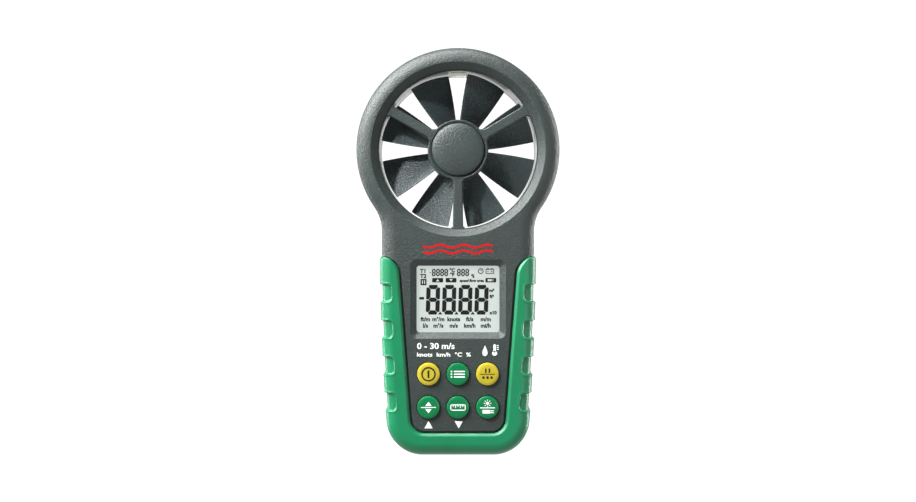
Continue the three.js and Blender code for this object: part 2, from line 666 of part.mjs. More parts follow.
function keypadMat() {
  const { half, low, high, domeTop, domeFoot } = KEYPAD_MAT;
  const sheet = box(-half, BOARD_Y - 1.1, low, half, BOARD_Y - 0.1, high);
  const domes = KEY_ROWS.flatMap((z) =>
    KEY_COLUMNS.map((x) => {
      const profile = [
        [0, KEY_BACK_Y + KEY_TRAVEL + 0.2],
        [domeTop, KEY_BACK_Y + KEY_TRAVEL + 0.2],
        [domeFoot, BOARD_Y - 0.8],
        [0, BOARD_Y - 0.8],
      ];
      return turned(profile, x, z, 12);
    }),
  );
  return join(sheet, domes);
}

function mainBoard() {
  const back = BOARD_Y + BOARD_THICK;
  const { half, low, high, ear: earInner, earLow } = MAIN_BOARD;
  const main = box(-half, BOARD_Y, low, half, back, high);
  const ear = box(earInner, BOARD_Y, earLow, USB.outer - 3, back, USB.high + 0.8); // carries the USB socket
  const holes = BOARD_SCREWS.map((p) => hole(p, BOARD_SCREW.shank + GAP, -FAR, FAR));
  return cut(join(main, ear), holes);
}

/** A plate in the XZ plane round the display's centre. */
function displayPlate(half, halfHeight, y0, y1) {
  return box(-half, y0, DISPLAY_Z - halfHeight, half, y1, DISPLAY_Z + halfHeight);
}

function displayHolder() {
  const frame = displayPlate(20.6, 16.5, LCD_Y + 0.5, BOARD_Y - 0.1);
  return cut(frame, displayPlate(19.4, 15.6, -FAR, BOARD_Y - 1.2), displayPlate(17.5, 13.5, -FAR, FAR));
}

/** A screw along Y with its head at the back. */
function screw({ x, y: z }, { shank, head, seat, tip }) {
  const profile = [
    [0, tip],
    [shank, tip + 0.8],
    [shank, seat],
    [head, seat],
    [head, seat + 1.2],
    [0, seat + 1.5],
  ];
  return turned(profile, x, z, 10);
}

function battery() {
  const { width, depth, body, base } = BATTERY;
  const front = BATTERY_MID_Y - depth / 2;
  const can = box(-width / 2, front, base, width / 2, front + depth, base + body);
  const { x: studX, small, large, depth: studDepth, rise } = BATTERY_STUDS;
  const stud = (x, radius) => {
    const geometry = new THREE.CylinderGeometry(radius, radius, studDepth, 16);
    return solid(geometry.rotateX(Math.PI / 2).translate(x, BATTERY_MID_Y, base + body + rise));
  };
  return join(can, stud(-studX, small), stud(studX, large));
}

/** The USB socket: a folded metal box, open at the neck's side, with its tongue inside. */
function usbSocket() {
  const { inner, outer, front, back, low, high } = USB;
  const sheet = 0.5;
  const shell = box(inner, front, low, outer, back, high);
  const room = box(inner + 1, front + sheet, low + sheet, FAR, back - sheet, high - sheet);
  const tongue = box(inner + 0.5, front + 1.5, low + 1.8, outer - 1.2, front + 2.5, high - 1.8);
  return join(cut(shell, room), tongue);
}

// ---------------------------------------------------------------- assembly

const group = new THREE.Group();
group.name = "handheld_anemometer";

function place(name, body, material) {
  const mesh = new THREE.Mesh(geometryOf(body), new THREE.MeshStandardMaterial(material));
  mesh.name = name;
  group.add(mesh);
}

const blank = casingBlank();
const hollow = cavity();
place("front_case", frontCase(blank, hollow), CASE_GREY);
place("rear_case", rearCase(blank, hollow), CASE_GREY);
place("rubber_boot", rubberBoot(), BOOT_GREEN);
place("battery_door", batteryDoor(), CASE_GREY);

const [upperRow, lowerRow] = KEY_ROWS;
const [left, middle, right] = KEY_COLUMNS;
place("power_button", key(left, upperRow), KEY_YELLOW);
place("function_button", key(middle, upperRow), KEY_GREEN);
place("hold_button", key(right, upperRow), KEY_YELLOW);
place("max_min_button", key(left, lowerRow), KEY_GREEN);
place("unit_button", key(middle, lowerRow), KEY_GREEN);
place("backlight_button", key(right, lowerRow), KEY_GREEN);

place("duct_liner", ductLiner(), LINER_WHITE);
place("front_spider", frontSpider(), CASE_GREY);
place("rear_spider", rearSpider(), CASE_GREY);
place("hub_cap", hubCap(), CASE_GREY);
place("rotor", rotor(), BLADE_BLACK);

const rotorBack = ROTOR_Y + ROTOR_HALF;
const frontBearingBack = ROTOR_Y - ROTOR_HALF - 1;
const bearing = (y0) => ring(SHAFT_R + 0.09, BEARING.outer, y0, y0 + BEARING.length, 16);
const shaft = bar(0, HEAD_Z, SHAFT_R, frontBearingBack - BEARING.length, REAR_HUB_Y + BEARING.length, 12);
place("rotor_shaft", shaft, STEEL);
place("front_bearing", bearing(frontBearingBack - BEARING.length), BRASS);
place("rear_bearing", bearing(REAR_HUB_Y + 0.1), BRASS);
const magnetBack = rotorBack - 1.7; // it rests on the rotor's web
place("rotor_magnet", ring(MAGNET.inner, MAGNET.outer, magnetBack - MAGNET.depth, magnetBack, 24), CHIP_BLACK);
place("sensor_board", ring(4.2, HUB_R - 1.5, REAR_HUB_Y + 1.6, REAR_HUB_Y + 2.6, 24), BOARD_GREEN);
const { half: chipHalf, halfHeight: chipRise, above } = SPEED_SENSOR;
const chipZ = HEAD_Z + above;
const speedChip = box(-chipHalf, REAR_HUB_Y + 0.5, chipZ - chipRise, chipHalf, REAR_HUB_Y + 1.5, chipZ + chipRise);
place("speed_sensor", speedChip, CHIP_BLACK);
const leadMid = (LEAD.front + LEAD.back) / 2;
const leadPath = [
  [0, REAR_HUB_Y + 3.4, HEAD_Z - 7],
  [0, leadMid - 1.6, HEAD_Z - 8],
  [0, leadMid, HEAD_Z - 10.5],
  [0, leadMid, HEAD_Z - 23],
  [0, leadMid, HEAD_Z - TUBE_R - 0.6],
  [0, 6, 88.6],
  [0, BOARD_Y + BOARD_THICK + 1, 88.2],
];
place("sensor_lead", wire(leadPath, 0.45), WIRE_BLACK);
const sensorTop = HEAD_Z + TUBE_R - 0.6;
const sensorBox = box(-SENSOR.half, SENSOR.front, HEAD_Z + SENSOR.low, SENSOR.half, SENSOR.back, sensorTop);
place("humidity_sensor", sensorBox, CREAM);

place("lcd_window", displayPlate(19.1, 15.3, PANEL_INNER_Y + 0.05, PANEL_INNER_Y + 1), GLASS);
place("lcd_holder", displayHolder(), WHITE_PLASTIC);
place("lcd_panel", displayPlate(19.2, 15.4, LCD_Y, LCD_Y + 1.7), DISPLAY_GREY);
place("backlight_panel", displayPlate(18.9, 12.8, LCD_Y + 1.8, LCD_Y + 3.9), WHITE_PLASTIC);
const zebraTop = DISPLAY_Z - 13.8;
place("zebra_strip", box(-17, LCD_Y + 1.8, zebraTop - 1.6, 17, BOARD_Y - 1.3, zebraTop), CHIP_BLACK);
place("main_board", mainBoard(), BOARD_GREEN);
place("keypad_mat", keypadMat(), SILICONE);
const boardBack = BOARD_Y + BOARD_THICK + 0.1;
const { half: mainHalf, low: mainLow, high: mainHigh, thick: mainThick } = MAIN_CHIP;
place("main_chip", box(-mainHalf, boardBack, mainLow, mainHalf, boardBack + mainThick, mainHigh), CHIP_BLACK);
place("buzzer", bar(BUZZER.x, BUZZER.z, BUZZER.radius, boardBack, boardBack + BUZZER.depth, 20), CHIP_BLACK);
place("usb_socket", usbSocket(), STEEL);

place("battery_9v", battery(), BATTERY_BLACK);
const snapZ = BATTERY.base + BATTERY.body + SNAP.above;
place("battery_snap", box(-SNAP.half, SNAP.front, snapZ, SNAP.half, SNAP.back, snapZ + SNAP.thick), CHIP_BLACK);
const batteryLead = (x) => [
  [x, 2.4, LEADS_Z],
  [x, -2.4, LEADS_Z],
  [x, boardBack + 0.4, LEADS_Z - 1],
];
place("battery_lead_red", wire(batteryLead(2.4), 0.5), WIRE_RED);
place("battery_lead_black", wire(batteryLead(-2.4), 0.5), WIRE_BLACK);

CASE_SCREWS.forEach((p, i) => place(`case_screw_${i + 1}`, screw(p, CASE_SCREW), STEEL));
BOARD_SCREWS.forEach((p, i) => place(`board_screw_${i + 1}`, screw(p, BOARD_SCREW), STEEL));

export default group;
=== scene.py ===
"""Looks for the handheld vane anemometer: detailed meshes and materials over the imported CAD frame.

Lengths in the shape code are millimetres, +X the reader's right, -Y the front and +Z up, as in the CAD.
"""
from functools import partial
from math import acos, atan, atan2, cos, hypot, pi, radians, sin, sqrt, tan

import bpy
import numpy as np
from mathutils import Matrix, Vector


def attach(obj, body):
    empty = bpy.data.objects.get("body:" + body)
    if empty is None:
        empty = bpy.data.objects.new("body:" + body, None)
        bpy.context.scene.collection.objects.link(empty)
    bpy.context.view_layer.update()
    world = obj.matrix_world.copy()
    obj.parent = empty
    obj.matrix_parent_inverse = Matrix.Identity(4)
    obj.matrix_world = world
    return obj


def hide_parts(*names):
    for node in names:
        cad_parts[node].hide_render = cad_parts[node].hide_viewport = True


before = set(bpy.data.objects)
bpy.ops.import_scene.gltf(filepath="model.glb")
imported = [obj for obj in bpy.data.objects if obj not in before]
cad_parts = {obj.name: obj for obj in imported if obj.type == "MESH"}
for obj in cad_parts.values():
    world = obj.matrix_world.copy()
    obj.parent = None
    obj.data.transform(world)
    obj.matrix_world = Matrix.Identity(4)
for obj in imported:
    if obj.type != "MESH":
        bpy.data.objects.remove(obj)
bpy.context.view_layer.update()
MM = 0.001
scene = bpy.context.scene
link = scene.collection.objects.link

# ---- dimensions, as in the CAD. FAR and HIGH are beyond everything.

GAP = 0.3
FAR = 60.0
HIGH = 200.0
HEAD_R = 42.5
HEAD_Z = 127.5
FRONT_Y = -17.4
HEAD_BACK_Y = 16.2
GRIP_BACK_Y = 18.4
HEAD_EDGE = 4.4
HEAD_CROWN = 6.0
BACK_EDGE = 6.0
EDGE_SPREAD = HEAD_CROWN / HEAD_EDGE
PARTING_Y = 0.5
PARTING_GAP = 0.05
PARTING_SOFT = 0.22
WALL = 2.2
NECK_HALF = 31.8
NECK_FILLET = 18.0
BOOT_TOP_Z = 82.9
BOOT_TOP_HALF = 32.6
BOOT_TAPER = 3.6
BOOT_CORNER_R = 15.3
BOOT_FRONT_Y = -18.2
BOOT_BACK_Y = 19.0
BOOT_EDGE = 5.0
BOOT_THICK = 2.0
BOOT_LIP_R = 1.4
PANEL_TOP_HALF = 24.4
PANEL_TOP_Z = 74.6
PANEL_BASE_HALF = 19.9
PANEL_BASE_Z = 9.3
PANEL_CORNER_R = 6.0
PANEL_GROOVE = 0.8
NOTCH_Z = (22.3, 37.4, 52.5, 67.6)
NOTCH_HEIGHT = 7.6
NOTCH_CORNER = 2.1
NOTCH_REACH = 4.95
NOTCH_DEPTH = 0.9
NOTCH_BEAD = 0.16
NOTCH_BEAD_HALF = 0.42
DUCT_R = 33.0
FUNNEL_R = 36.1
FUNNEL_DEPTH = 3.0
SEAT_R = 34.6
LINER_R = 34.3
TUBE_R = 36.4
GUARD_FRONT = FRONT_Y + FUNNEL_DEPTH + 0.1
GUARD_BACK = HEAD_BACK_Y - FUNNEL_DEPTH - 0.1
GUARD_DEPTH = 2.2
REAR_GUARD_DEPTH = 3.2
HUB_R = 12.45
STRUT_ANGLES = (30, 150, 270)
CAP_R = 10.9
ROTOR_HUB_R = 12.8
ROTOR_TIP_R = 32.4
ROTOR_Y = -3.5
ROTOR_HALF = 5.5
REAR_HUB_Y = 3.6
TUBE_IN = 2.3
TUBE_OUT = 3.4
DISPLAY_Z = 65.1
KEY_R = 4.7
KEY_TOP_Y = -19.0
KEY_COLUMNS = (-12.25, 0.0, 12.25)
KEY_ROWS = (34.0, 20.2)
PANEL_INNER_Y = FRONT_Y + WALL
SCREW_RING_R = 38.6
SCREW_ANGLES = (47, 133, -38, -142)
SCREW_SEAT_Y = 8
DOOR_WIDTH = 32.8
DOOR_HEIGHT = 60.2
DOOR_CORNER = 3
DOOR_Z = 49.3
DOOR_SEAT_Y = 16.3

# boxes, as x0, y0, z0, x1, y1, z1
USB_OPENING = (23.7, -6.7, 86.3, FAR, -2.1, 94.7)
SENSOR_POCKET = (-3.9, -12.1, HEAD_Z + 30, 3.9, -9.3, HEAD_Z + TUBE_R)
LEAD_SLOT = (-0.8, 9.3, HEAD_Z - TUBE_R - 1, 0.8, 11.4, HEAD_Z - 9.8)
BAY_WALLS = (-15.4, -3.2, 20.2, 15.4, 17.4, 78.4)
DOOR_FRAME = (-18, 14.4, 17.6, 18, 17.4, 81)
BATTERY_BAY = (-14, -1.8, 21.6, 14, FAR, 77)
SNAP_SLOT = (-4, -5, 74.4, 4, -1, 76.8)

# ---- outlines in the XZ plane


def arc(x, z, rx, rz, start, end, steps):
    a = np.linspace(start, end, steps + 1)
    return np.stack([x + rx * np.cos(a), z + rz * np.sin(a)], 1)


def mirrored(*parts):
    right = np.concatenate(parts)
    left = right[right[:, 0] > 1e-6][::-1] * (-1, 1)
    return np.concatenate([right, left])


def rounded_rect(width, height, corner, z, x=0.0, steps=8):
    dx, dz = width / 2 - corner, height / 2 - corner
    outline = mirrored(
        arc(dx, z - dz, corner, corner, -pi / 2, 0, steps),
        arc(dx, z + dz, corner, corner, 0, pi / 2, steps),
    )
    return outline + (x, 0)


def boot_half(z):
    fall = np.clip((BOOT_TOP_Z - z) / BOOT_TOP_Z, 0, 1)
    return BOOT_TOP_HALF - BOOT_TAPER * fall**1.8


def base_corner():
    """The lean of the side where it meets the base's corner, and that corner's centre x and top z."""
    lean = atan(1.6 * BOOT_TAPER / BOOT_TOP_Z)
    top = BOOT_CORNER_R * (1 - sin(lean))
    return lean, boot_half(top) - BOOT_CORNER_R * cos(lean), top


def grip_outline(inset, top, corner_steps=18, side_steps=24):
    lean, corner_x, corner_top = base_corner()
    r = BOOT_CORNER_R - inset
    z = np.linspace(corner_top, top - inset, side_steps + 1)[1:]
    side = np.stack([boot_half(z) - inset, z], 1)
    return mirrored(arc(corner_x, BOOT_CORNER_R, r, r, -pi / 2, -lean, corner_steps), side)


def head_outline(inset, bottom, head_steps=72, fillet_steps=18):
    fillet_x = NECK_HALF + NECK_FILLET
    fillet_z = HEAD_Z - sqrt((HEAD_R + NECK_FILLET) ** 2 - fillet_x**2)
    tangent = atan2(fillet_z - HEAD_Z, fillet_x)
    r = NECK_FILLET + inset
    head = arc(0, HEAD_Z, HEAD_R - inset, HEAD_R - inset, tangent, pi / 2, head_steps)
    return mirrored(
        [[NECK_HALF - inset, bottom]],
        arc(fillet_x, fillet_z, r, r, pi, pi + tangent, fillet_steps),
        head[1:],
    )


def window_outline(inset, corner_steps=14, flare_steps=24):
    lean = atan2(PANEL_TOP_HALF - PANEL_BASE_HALF, PANEL_TOP_Z - PANEL_BASE_Z)
    corner = PANEL_CORNER_R - inset
    flare_w = BOOT_TOP_HALF - PANEL_TOP_HALF + inset
    rise = min(inset, GAP)
    flare_h = BOOT_TOP_Z - PANEL_TOP_Z + rise
    corner_x, corner_z = PANEL_BASE_HALF - PANEL_CORNER_R, PANEL_BASE_Z + PANEL_CORNER_R
    return mirrored(
        arc(corner_x, corner_z, corner, corner, -pi / 2, -lean, corner_steps),
        arc(BOOT_TOP_HALF, PANEL_TOP_Z, flare_w, flare_h, pi, pi / 2, flare_steps),
        [[FAR, BOOT_TOP_Z + rise], [FAR, HIGH]],
    )


def softened(points, radii, steps=5):
    """A polyline of 2D points with its inner corners rounded. radii has one radius per point."""
    points = [np.array(p, float) for p in points]
    out = [points[0]]
    for before, corner, after, radius in zip(points, points[1:], points[2:], radii[1:]):
        if radius == 0:
            out.append(corner)
            continue
        u, v = before - corner, after - corner
        u_len, v_len = np.linalg.norm(u), np.linalg.norm(v)
        u, v = u / u_len, v / v_len
        half = acos(np.clip(u @ v, -1, 1)) / 2
        reach = min(radius / tan(half), u_len * 0.49, v_len * 0.49)
        start, end = corner + u * reach, corner + v * reach
        for t in np.linspace(0, 1, steps + 1):
            out.append(start * (1 - t) ** 2 + 2 * corner * t * (1 - t) + end * t * t)
    out.append(points[-1])
    return np.array(out)


# ---- meshes


def new_object(verts, faces):
    mesh = bpy.data.meshes.new("shape")
    mesh.from_pydata((np.array(verts) * MM).tolist(), [], faces)
    mesh.update()
    obj = bpy.data.objects.new("shape", mesh)
    link(obj)
    return obj


def bridge(loops, size):
    """Quads between loops of size vertices each, numbered one loop after another."""
    faces = []
    for a in range(0, (len(loops) - 1) * size, size):
        b = a + size
        for i in range(size):
            k = (i + 1) % size
            faces.append((a + i, a + k, b + k, b + i))
    return faces


def capped(loops, size):
    """The same, with a face across the first loop and one across the last."""
    last = (len(loops) - 1) * size
    return bridge(loops, size) + [tuple(reversed(range(size))), tuple(range(last, last + size))]


def face(*numbers):
    """A face's vertices, with one that is repeated taken once."""
    return tuple(dict.fromkeys(numbers))


def solid(verts, faces):
    """A closed mesh, its faces turned outwards."""
    obj = new_object(verts, faces)
    mesh = obj.data
    co = np.array([v.co for v in mesh.vertices])
    mesh.calc_loop_triangles()
    tri = np.array([t.vertices for t in mesh.loop_triangles])
    a, b, c = co[tri[:, 0]], co[tri[:, 1]], co[tri[:, 2]]
    if np.einsum("ij,ij->i", a, np.cross(b, c)).sum() < 0:
        mesh.flip_normals()
    return obj


def loft(levels):
    """A solid through outlines in the XZ plane, given as (y, outline) with as many points each."""
    verts = [(x, y, z) for y, outline in levels for x, z in outline]
    return solid(verts, capped(levels, len(levels[0][1])))


def slab(outline, y0, y1, front=0.0, back=0.0, steps=8):
    """outline(inset) drawn out from y0 to y1, with its front and back edges rounded."""

    def edge(y, r):
        turn = np.linspace(0, pi / 2, steps + 1) if r else [0]
        return [(y + r * (1 - cos(a)), outline(abs(r) * (1 - sin(a)))) for a in turn]

    return loft(edge(y0, front) + edge(y1, -back)[::-1])


def plate(width, height, corner, z, y0, y1, front, back, steps):
    """A rounded rectangle with its front and back edges rounded."""

    def outline(inset):
        return rounded_rect(width - 2 * inset, height - 2 * inset, corner - inset, z)

    return slab(outline, y0, y1, front, back, steps)


def prism(outline, y0, y1):
    return loft([(y0, outline), (y1, outline)])


def lathe(profile, x=0.0, z=HEAD_Z, sides=96):
    """A closed solid turned about an axis along Y. The profile of (radius, y) starts and ends on the
    axis, or ends where it started."""
    profile = [tuple(p) for p in profile]
    looped = profile[0] == profile[-1]
    if looped:
        profile = profile[:-1]
    turn = np.linspace(0, 2 * pi, sides, endpoint=False)
    verts, rows = [], []
    for r, y in profile:
        ring = [(x + r * cos(a), y, z + r * sin(a)) for a in turn] if r > 1e-6 else [(x, y, z)]
        rows.append(range(len(verts), len(verts) + len(ring)))
        verts += ring
    faces = []
    for a, b in list(zip(rows, rows[1:])) + ([(rows[-1], rows[0])] if looped else []):
        if len(a) == len(b) == 1:
            continue
        for i in range(sides):
            k = (i + 1) % sides
            faces.append(face(a[i % len(a)], b[i % len(b)], b[k % len(b)], a[k % len(a)]))
    return solid(verts, faces)


def rod(r, y0, y1, x=0.0, z=HEAD_Z, sides=72):
    return lathe([(0, y0), (r, y0), (r, y1), (0, y1)], x, z, sides)


def box(x0, y0, z0, x1, y1, z1):
    return prism([(x0, z0), (x1, z0), (x1, z1), (x0, z1)], y0, y1)


def boolean(operation, obj, *tools):
    """Applies each tool to obj, then removes the tool."""
    for tool in tools:
        mod = obj.modifiers.new("cut", "BOOLEAN")
        mod.operation = operation
        mod.solver = "MANIFOLD"
        mod.object = tool
        graph = bpy.context.evaluated_depsgraph_get()
        old, made = obj.data, bpy.data.meshes.new_from_object(obj.evaluated_get(graph))
        obj.modifiers.clear()
        obj.data = made
        bpy.data.meshes.remove(old)
        bpy.data.meshes.remove(tool.data)
    return obj


def duplicate(obj):
    copy = bpy.data.objects.new(obj.name, obj.data.copy())
    link(copy)
    return copy


cut = partial(boolean, "DIFFERENCE")
join = partial(boolean, "UNION")
keep = partial(boolean, "INTERSECT")


def dressed(obj, name, material, slot, node=None, body="meter", crease=35, weighted=True):
    """Names, shades and colours a piece, and ties it to its body and to the CAD node it stands for."""
    obj.name = name
    obj.data.name = name
    obj.data.materials.clear()
    obj.data.materials.append(material)
    for p in obj.data.polygons:
        p.material_index = 0
    obj.data.shade_smooth()
    obj.data.set_sharp_from_angle(angle=radians(crease))
    if weighted:
        mod = obj.modifiers.new("normals", "WEIGHTED_NORMAL")
        mod.keep_sharp = True
        mod.weight = 60
    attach(obj, body)
    if node:
        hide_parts(node)


# ---- materials


def rgb(code):
    """A colour in linear light from its sRGB hex code."""
    channels = [int(code[i : i + 2], 16) / 255 for i in (0, 2, 4)]
    return [c / 12.92 if c <= 0.04045 else ((c + 0.055) / 1.055) ** 2.4 for c in channels] + [1]


class Nodes:
    """A new material's node tree, with short ways to add and join nodes."""

    def __init__(self, name):
        self.material = bpy.data.materials.new(name)
        self.material.use_nodes = True
        self.tree = self.material.node_tree
        self.shader = self.tree.nodes["Principled BSDF"]
        self.coords = self.tree.nodes.new("ShaderNodeTexCoord").outputs["Object"]

    def add(self, kind, **inputs):
        node = self.tree.nodes.new("ShaderNode" + kind)
        for key, value in inputs.items():
            self.put(node.inputs[key.replace("_", " ")], value)
        return node

    def put(self, socket, value):
        if isinstance(value, bpy.types.NodeSocket):
            self.tree.links.new(value, socket)
        else:
            socket.default_value = value

    def noise(self, size, detail=2.0, roughness=0.5):
        """Noise from 0 to 1 whose features are about size millimetres across."""
        scale = 1 / (size * MM)
        node = self.add("TexNoise", Vector=self.coords, Scale=scale, Detail=detail, Roughness=roughness)
        return node.outputs["Fac"]

    def ramp(self, value, out_low=0.0, out_high=1.0, low=0.3, high=0.7):
        """Maps low to high, where most of a noise lies, to out_low to out_high."""
        node = self.add("MapRange", Value=value)
        for i, number in enumerate((low, high, out_low, out_high)):
            node.inputs[1 + i].default_value = number
        return node.outputs["Result"]

    def mix(self, fac, a, b):
        node = self.tree.nodes.new("ShaderNodeMix")
        node.data_type = "RGBA"
        self.put(node.inputs["Factor"], fac)
        self.put(node.inputs[6], a)
        self.put(node.inputs[7], b)
        return node.outputs[2]

    def bump(self, height, strength, distance):
        node = self.add("Bump", Height=height, Strength=strength, Distance=distance * MM)
        self.set(Normal=node.outputs["Normal"])

    def set(self, **inputs):
        """Sets or links the shader's own sockets."""
        for key, value in inputs.items():
            self.put(self.shader.inputs[key.replace("_", " ")], value)
        return self.material


def moulded(name, dark, light, rough, grain=0.35, depth=0.02, mottle=9.0, specular=0.5, painted_glint=0.0):
    """Moulded plastic or rubber: a faint drift, a fine grain in colour and relief, and pale specks
    painted into the colour as glints of the grain.
    """
    n = Nodes(name)
    drift = n.ramp(n.noise(mottle, 3))
    fine = n.noise(grain, 3, 0.6)
    colour = n.mix(drift, rgb(dark), rgb(light))
    colour = n.mix(n.ramp(fine, 0, 0.35, 0.3, 0.8), colour, rgb(light))
    # pale specks in the base colour: painted glints where the coarse grain would catch the light
    if painted_glint:
        glint_flecks = n.ramp(n.noise(grain * 0.8, 1), 0, painted_glint, 0.66, 0.74)
        colour = n.mix(glint_flecks, colour, rgb("b8bcbc"))
    n.bump(fine, 1.0, depth)
    roughness = n.ramp(fine, rough - 0.05, rough + 0.07, 0.35, 0.75)
    return n.set(Base_Color=colour, Roughness=roughness, Specular_IOR_Level=specular)


def uneven(name, dark, light, glossy, matt, noise, relief, **inputs):
    """One noise that gives the colour, the gloss and a slight relief."""
    n = Nodes(name)
    fine = n.noise(*noise)
    colour = n.mix(n.ramp(fine), rgb(dark), rgb(light))
    n.bump(fine, *relief)
    return n.set(Base_Color=colour, Roughness=n.ramp(fine, glossy, matt), **inputs)


def metal(name, dark, light, rough, grain=0.3):
    noise, relief = (grain, 4, 0.65), (0.25, 0.006)
    return uneven(name, dark, light, rough - 0.07, rough + 0.08, noise, relief, Metallic=1.0)


def ink(name, dark, light, rough=0.45):
    noise, relief = (0.5, 3, 0.6), (0.2, 0.004)
    return uneven(name, dark, light, rough - 0.08, rough + 0.08, noise, relief, Specular_IOR_Level=0.2)


# the specks on the case, guard and blades are painted glints
CASE = moulded("case_grey", "1d2725", "222c2a", 0.47, grain=0.75, depth=0.25, specular=0.55, painted_glint=0.05)
GUARD = moulded("guard_grey", "232d2b", "293331", 0.45, grain=0.8, depth=0.2, painted_glint=0.06)
BOOT = moulded("boot_green", "00653e", "006d46", 0.38, grain=0.3, depth=0.006, mottle=16)
BLADE = moulded("blade_black", "2a3435", "303a3c", 0.42, grain=0.9, depth=0.4, specular=0.45, painted_glint=0.1)
LINER = moulded("liner_pale", "9b9d98", "abada8", 0.32, grain=0.4, depth=0.008)
CREAM = moulded("sensor_cream", "e2e1d6", "eeede4", 0.55, grain=0.25)
KEY_GREEN = moulded("key_green", "065e33", "09653b", 0.26, grain=0.5, depth=0.006, specular=0.3)
KEY_YELLOW = moulded("key_yellow", "998b22", "a3952c", 0.26, grain=0.5, depth=0.006, specular=0.3)
BLACK = moulded("black_plastic", "0e0f10", "17191a", 0.4, grain=0.25)
WHITE_PLASTIC = moulded("white_plastic", "dadad4", "ebebe6", 0.45, grain=0.3)
SILICONE = moulded("silicone_grey", "a9adaa", "c3c7c4", 0.6, grain=0.4)
WIRE_RED = moulded("wire_red", "9a1714", "b3231f", 0.45)
WIRE_BLACK = moulded("wire_black", "0d0d0e", "1a1a1c", 0.45)
STEEL = metal("steel", "9a9da1", "c4c7ca", 0.28)
BRONZE = metal("bronze", "8d7238", "b8985a", 0.42, grain=0.15)
WHITE_INK = ink("white_ink", "d3d7d6", "e4e6e5")
RED_INK = ink("red_ink", "960a10", "a40e14")
DARK_INK = ink("dark_ink", "150f08", "211a10")
SEGMENT = ink("lcd_segment", "0d0b0c", "161415")
LABEL_BLUE = ink("battery_label", "1f3f6e", "2b4f84", 0.3)


def board_material():
    """Green solder mask over faint copper tracks."""
    n = Nodes("board_green")
    bricks = n.add("TexBrick", Vector=n.coords, Scale=1 / (5 * MM), Mortar_Size=0.02)
    for socket, code in (("Color1", "17512e"), ("Color2", "1d5e36"), ("Mortar", "2c7a48")):
        n.put(bricks.inputs[socket], rgb(code))
    fine = n.noise(0.4, 2)
    n.bump(fine, 0.2, 0.005)
    return n.set(Base_Color=bricks.outputs["Color"], Roughness=n.ramp(fine, 0.28, 0.42))


def display_material():
    """The LCD's glass: pale grey-green with a faint grain, and a painted glow that brightens it and evens
    out the shade of its recess.
    """
    n = Nodes("lcd_pale_painted_glow")
    fine = n.noise(0.2, 2)
    drift = n.noise(16, 2)
    colour = n.mix(n.ramp(drift), rgb("898f8c"), rgb("8f9693"))
    colour = n.mix(n.ramp(fine, 0, 0.25), colour, rgb("838a86"))
    n.bump(fine, 0.1, 0.003)
    # half the colour is left for the lamps to light, the rest is a painted glow though no lamp is behind
    # it
    half = n.mix(0.5, colour, (0, 0, 0, 1))
    roughness = n.ramp(fine, 0.22, 0.34)
    return n.set(Base_Color=half, Roughness=roughness, Emission_Color=colour, Emission_Strength=2.35)


def window_material():
    """Clear acrylic, with gloss that drifts very slightly."""
    n = Nodes("window_clear")
    drift = n.noise(6, 3)
    roughness = n.ramp(drift, 0.02, 0.06)
    colour = n.mix(drift, (0.02, 0.025, 0.022, 1), (0.03, 0.035, 0.032, 1))
    return n.set(Base_Color=colour, Roughness=roughness, Alpha=0.08)


BOARD = board_material()
DISPLAY = display_material()
WINDOW = window_material()


# ---- casings


def duct_cutter():
    """The air path, with soft edges where the funnels meet the faces and the bore."""
    beyond, wide = 4, FUNNEL_R + 3
    start, end = FRONT_Y - beyond, HEAD_BACK_Y + beyond
    seat_start, seat_end = GUARD_FRONT - 0.1, GUARD_BACK + 0.1
    slope = (FUNNEL_R - DUCT_R) / FUNNEL_DEPTH
    points = [(0, start), (wide, start), (wide, FRONT_Y - 0.02), (FUNNEL_R + 0.25, FRONT_Y + 0.02)]
    points += [(DUCT_R, seat_start), (SEAT_R, seat_start), (SEAT_R, seat_end), (DUCT_R, seat_end)]
    points += [(FUNNEL_R + slope * 0.2, HEAD_BACK_Y - 0.02), (wide, HEAD_BACK_Y + 0.02)]
    points += [(wide, end), (0, end)]
    return lathe(softened(points, [0, 0, 0, 0.3, 0.3, 0, 0, 0.3, 0.6, 0, 0, 0]), sides=192)


def cavity():
    """The hollow inside: the head's ring round the duct, the grip, and the space behind the panel."""
    wall = BOOT_THICK + GAP + WALL
    head = slab(lambda i: head_outline(WALL + i, 84, 24, 6), PANEL_INNER_Y, HEAD_BACK_Y - WALL)
    cut(head, rod(TUBE_R, -FAR, FAR))
    grip = prism(grip_outline(wall, 92), BOOT_FRONT_Y + wall, BOOT_BACK_Y - wall)
    panel = prism(window_outline(PANEL_GROOVE + 1.5), PANEL_INNER_Y, GRIP_BACK_Y - WALL)
    keep(panel, box(-FAR, -FAR, 0, FAR, FAR, 87.7), prism(head_outline(WALL, 0, 24, 6), -FAR, FAR))
    return join(head, grip, panel)


def core(y0, y1):
    """The part of the casing inside the boot, between y0 and y1."""
    inset = BOOT_THICK + GAP
    front, back = BOOT_FRONT_Y + inset, BOOT_BACK_Y - inset
    whole = slab(lambda i: grip_outline(inset + i, 88), front, back, 3, 3, 4)
    return keep(whole, box(-FAR, y0, -FAR, FAR, y1, HIGH))


def window_prism(y_face, direction):
    """The space that the boot leaves for the casing, its edge softened at the face at y_face."""
    soft = 0.35
    levels = [(y_face - direction * FAR, window_outline(PANEL_GROOVE + soft))]
    for a in np.linspace(0, pi / 2, 6):
        inset = PANEL_GROOVE + soft * (1 - sin(a))
        levels.append((y_face + direction * soft * (1 - cos(a)), window_outline(inset)))
    levels.append((y_face + direction * FAR, window_outline(PANEL_GROOVE)))
    return loft(levels)


